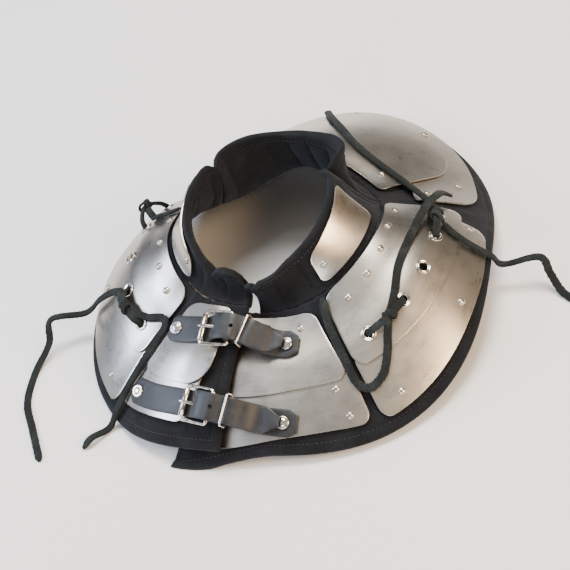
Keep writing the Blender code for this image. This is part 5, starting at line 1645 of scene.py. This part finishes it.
def lead_strip(name, rows, tail, seed):
    """Strand from the middle of a knot to where a free end starts."""
    middle = rows[len(rows) // 2]
    start = np.array((middle[0], middle[1], middle[2] - 0.001))
    end, beyond = np.array(tail[0]), np.array(tail[1])
    halfway = (start + end) / 2.0 + np.array((0.0, 0.0, 0.0030))
    last = end + 0.10 * (beyond - end)
    points = [lace_row(*row) for row in (start, halfway, end, last)]
    route = smooth_route(points, 0.0012)
    sides, ups = strip_frames(route[:, :3], route[:, 3:])
    width, thickness = 0.97 * LACE_WIDTH, 0.93 * LACE_THICKNESS
    outline = strip_outline(route[:, :3], width, thickness, 50.0 + seed, 0.0004, 0.0001)
    return swept_solid(f"{name}_lead", route[:, :3], sides, ups, outline, suede)


def build_knot(name, rows, seed):
    points = [np.concatenate([place(angle, share, height + flap_lift(angle)), skin_normal(angle, share)])
              for angle, share, height in rows]
    route = smooth_route(points, 0.0011)
    centre = route[len(route) // 2, :3]
    middle_row = rows[len(rows) // 2]
    across = place(middle_row[0], middle_row[1] + 0.02, 0.0) - place(middle_row[0], middle_row[1], 0.0)
    across /= np.linalg.norm(across)
    tangents = np.gradient(route[:, :3], axis=0)
    tangents /= np.linalg.norm(tangents, axis=1, keepdims=True)
    sides = across - tangents * (tangents @ across)[:, None]
    sides /= np.linalg.norm(sides, axis=1, keepdims=True)
    ups = np.cross(tangents, sides)
    last = len(route) - 1
    narrow = np.interp(np.arange(len(route)), (0, 6, last - 6, last), (0.55, 0.9, 0.9, 0.55))
    plain = strip_outline(route[:, :3], 1.0, 1.0, 31.0 + seed, 0.0, 0.0001)

    def outline(ring):
        width = LACE_WIDTH * narrow[ring] / 2.0
        wobble = 1.0 + 0.10 * noise.noise(Vector((ring * 0.35, seed, 2.0)))
        return [(2.0 * a * width * wobble, 2.0 * b * LACE_THICKNESS * 0.45) for a, b in plain(0)]

    strand = swept_solid(f"{name}_strand", route[:, :3], sides, ups, outline, suede)
    up = skin_normal(middle_row[0], middle_row[1])
    forward = np.cross(across, up)
    turns = []
    wraps = np.linspace(0.0, 2.0 * math.pi, 44, endpoint=False)
    for lean, offset in ((0.55, -0.0030), (-0.55, 0.0030)):
        axis = forward * math.cos(lean) + across * math.sin(lean)
        wide = np.cross(up, axis)
        outs = [1.05 * math.cos(w) * wide + 0.80 * math.sin(w) * up for w in wraps]
        ring = [centre + offset * forward + KNOT_TURN_RADIUS * value for value in outs]
        outs = [value / np.linalg.norm(value) for value in outs]
        cross = [(2.6 * a, b) for a, b in ring_outline(0.00125, 12)(0)]
        turns.append(swept_solid(f"{name}_turn", ring, [axis] * len(ring), outs, lambda k: cross, suede, True))
    tails = [rows_of for tail, rows_of in LACE_TAILS.items() if tail.startswith(name)]
    leads = [lead_strip(name, rows, tail, seed + number) for number, tail in enumerate(tails)]
    return join_pieces(f"{name}_knot_tied", [strand] + turns + leads)


knots = {f"{name}_knot": build_knot(name, rows, 3.0 * number)
         for number, (name, rows) in enumerate(LACE_KNOTS.items())}
print("knots", list(knots))

# %% [markdown]
# ## Floor and light
# The gorget lies on a plain pale floor. Satin steel shows what surrounds it, so the light is
# made of large soft panels: a warm one on the right, a cool one on the left, and a grey sky
# that darkens towards the horizon. Their edges make the bands that run over the plates.

# %% Floor
def build_floor():
    data = bmesh.new()
    bmesh.ops.create_grid(data, x_segments=1, y_segments=1, size=6.0)
    mesh = bpy.data.meshes.new("floor")
    data.to_mesh(mesh)
    data.free()
    material, _, _ = new_material("pale_studio_floor", {
        "Base Color": linear("#f4f3f1"), "Roughness": 0.9})
    mesh.materials.append(material)
    floor = bpy.data.objects.new("floor", mesh)
    bpy.context.scene.collection.objects.link(floor)
    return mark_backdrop(floor)


build_floor()


# %% Lights and sky
def add_panel(name, place_at, aim, size, power, colour):
    data = bpy.data.lights.new(name, "AREA")
    data.shape = "RECTANGLE"
    data.size, data.size_y = size
    data.energy = power
    data.color = linear(colour)[:3]
    lamp = bpy.data.objects.new(name, data)
    direction = Vector(aim) - Vector(place_at)
    turn = direction.to_track_quat("-Z", "Y").to_matrix().to_4x4()
    lamp.matrix_world = Matrix.Translation(Vector(place_at)) @ turn
    bpy.context.scene.collection.objects.link(lamp)


add_panel("panel_warm", (1.9, -0.5, 1.3), (0.0, 0.0, 0.05), (1.1, 0.9), 62.0, "#ffdcb4")
add_panel("panel_cool", (-1.8, -0.6, 1.3), (0.0, 0.0, 0.05), (1.1, 0.8), 48.0, "#d6e4ff")
add_panel("panel_top", (-0.1, 0.6, 2.3), (0.0, 0.0, 0.05), (1.4, 0.9), 80.0, "#fffdf8")
add_panel("panel_back", (0.3, -2.1, 0.9), (0.0, -0.05, 0.05), (1.4, 0.5), 22.0, "#f4f6ff")


def build_sky():
    world = bpy.data.worlds.new("studio")
    bpy.context.scene.world = world
    world.use_nodes = True
    tree = world.node_tree
    direction = add_node(tree, "ShaderNodeTexCoord")
    split = add_node(tree, "ShaderNodeSeparateXYZ", links={"Vector": direction.outputs["Generated"]})
    shades = ramp(tree, split.outputs["Z"], (
        (0.0, grey(0.80)), (0.12, grey(0.50)), (0.30, grey(0.16)), (0.52, grey(0.62)), (0.85, grey(1.0))))
    across = add_node(tree, "ShaderNodeMapRange", inputs={"From Min": -1.0, "From Max": 1.0},
                      links={"Value": split.outputs["X"]})
    warmth = ramp(tree, across.outputs["Result"], (
        (0.15, linear("#dfe9ff")), (0.5, linear("#f7f6f4")), (0.85, linear("#ffe3c4"))))
    tinted = add_node(tree, "ShaderNodeMix", MULTIPLY, {"Factor": 1.0},
                      {"A": shades, "B": warmth})
    sky = tree.nodes["Background"]
    tree.links.new(tinted.outputs["Result"], sky.inputs["Color"])
    sky.inputs["Strength"].default_value = 0.62


build_sky()

# %% [markdown]
# ## The pieces on the body
# Every piece rides on the one rigid body, and the solids that it replaces are hidden.

# %% Attach the pieces
def declare(piece, slot, *nodes):
    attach(piece, "root")
    if nodes:
        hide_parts(*nodes)


for strip, name, path, length, width in lace_pieces:
    declare(strip, "suede_lace", name)
declare(yoke, "quilted_cotton", "liner_mantle")
for name, piece in collars.items():
    declare(piece, "quilted_cotton", name)
for name, piece in plates.items():
    declare(piece, "satin_steel", name)
declare(rivets, "satin_steel")
declare(eyelets, "nickel", *eyelet_nodes)
declare(stitches, "quilted_cotton")
for name, piece in straps.items():
    declare(piece, "strap_leather", name)
for name, piece in hardware.items():
    declare(piece, "nickel", name)
declare(caps, "nickel", *cap_nodes)
for name, piece in knots.items():
    declare(piece, "suede_lace", name)
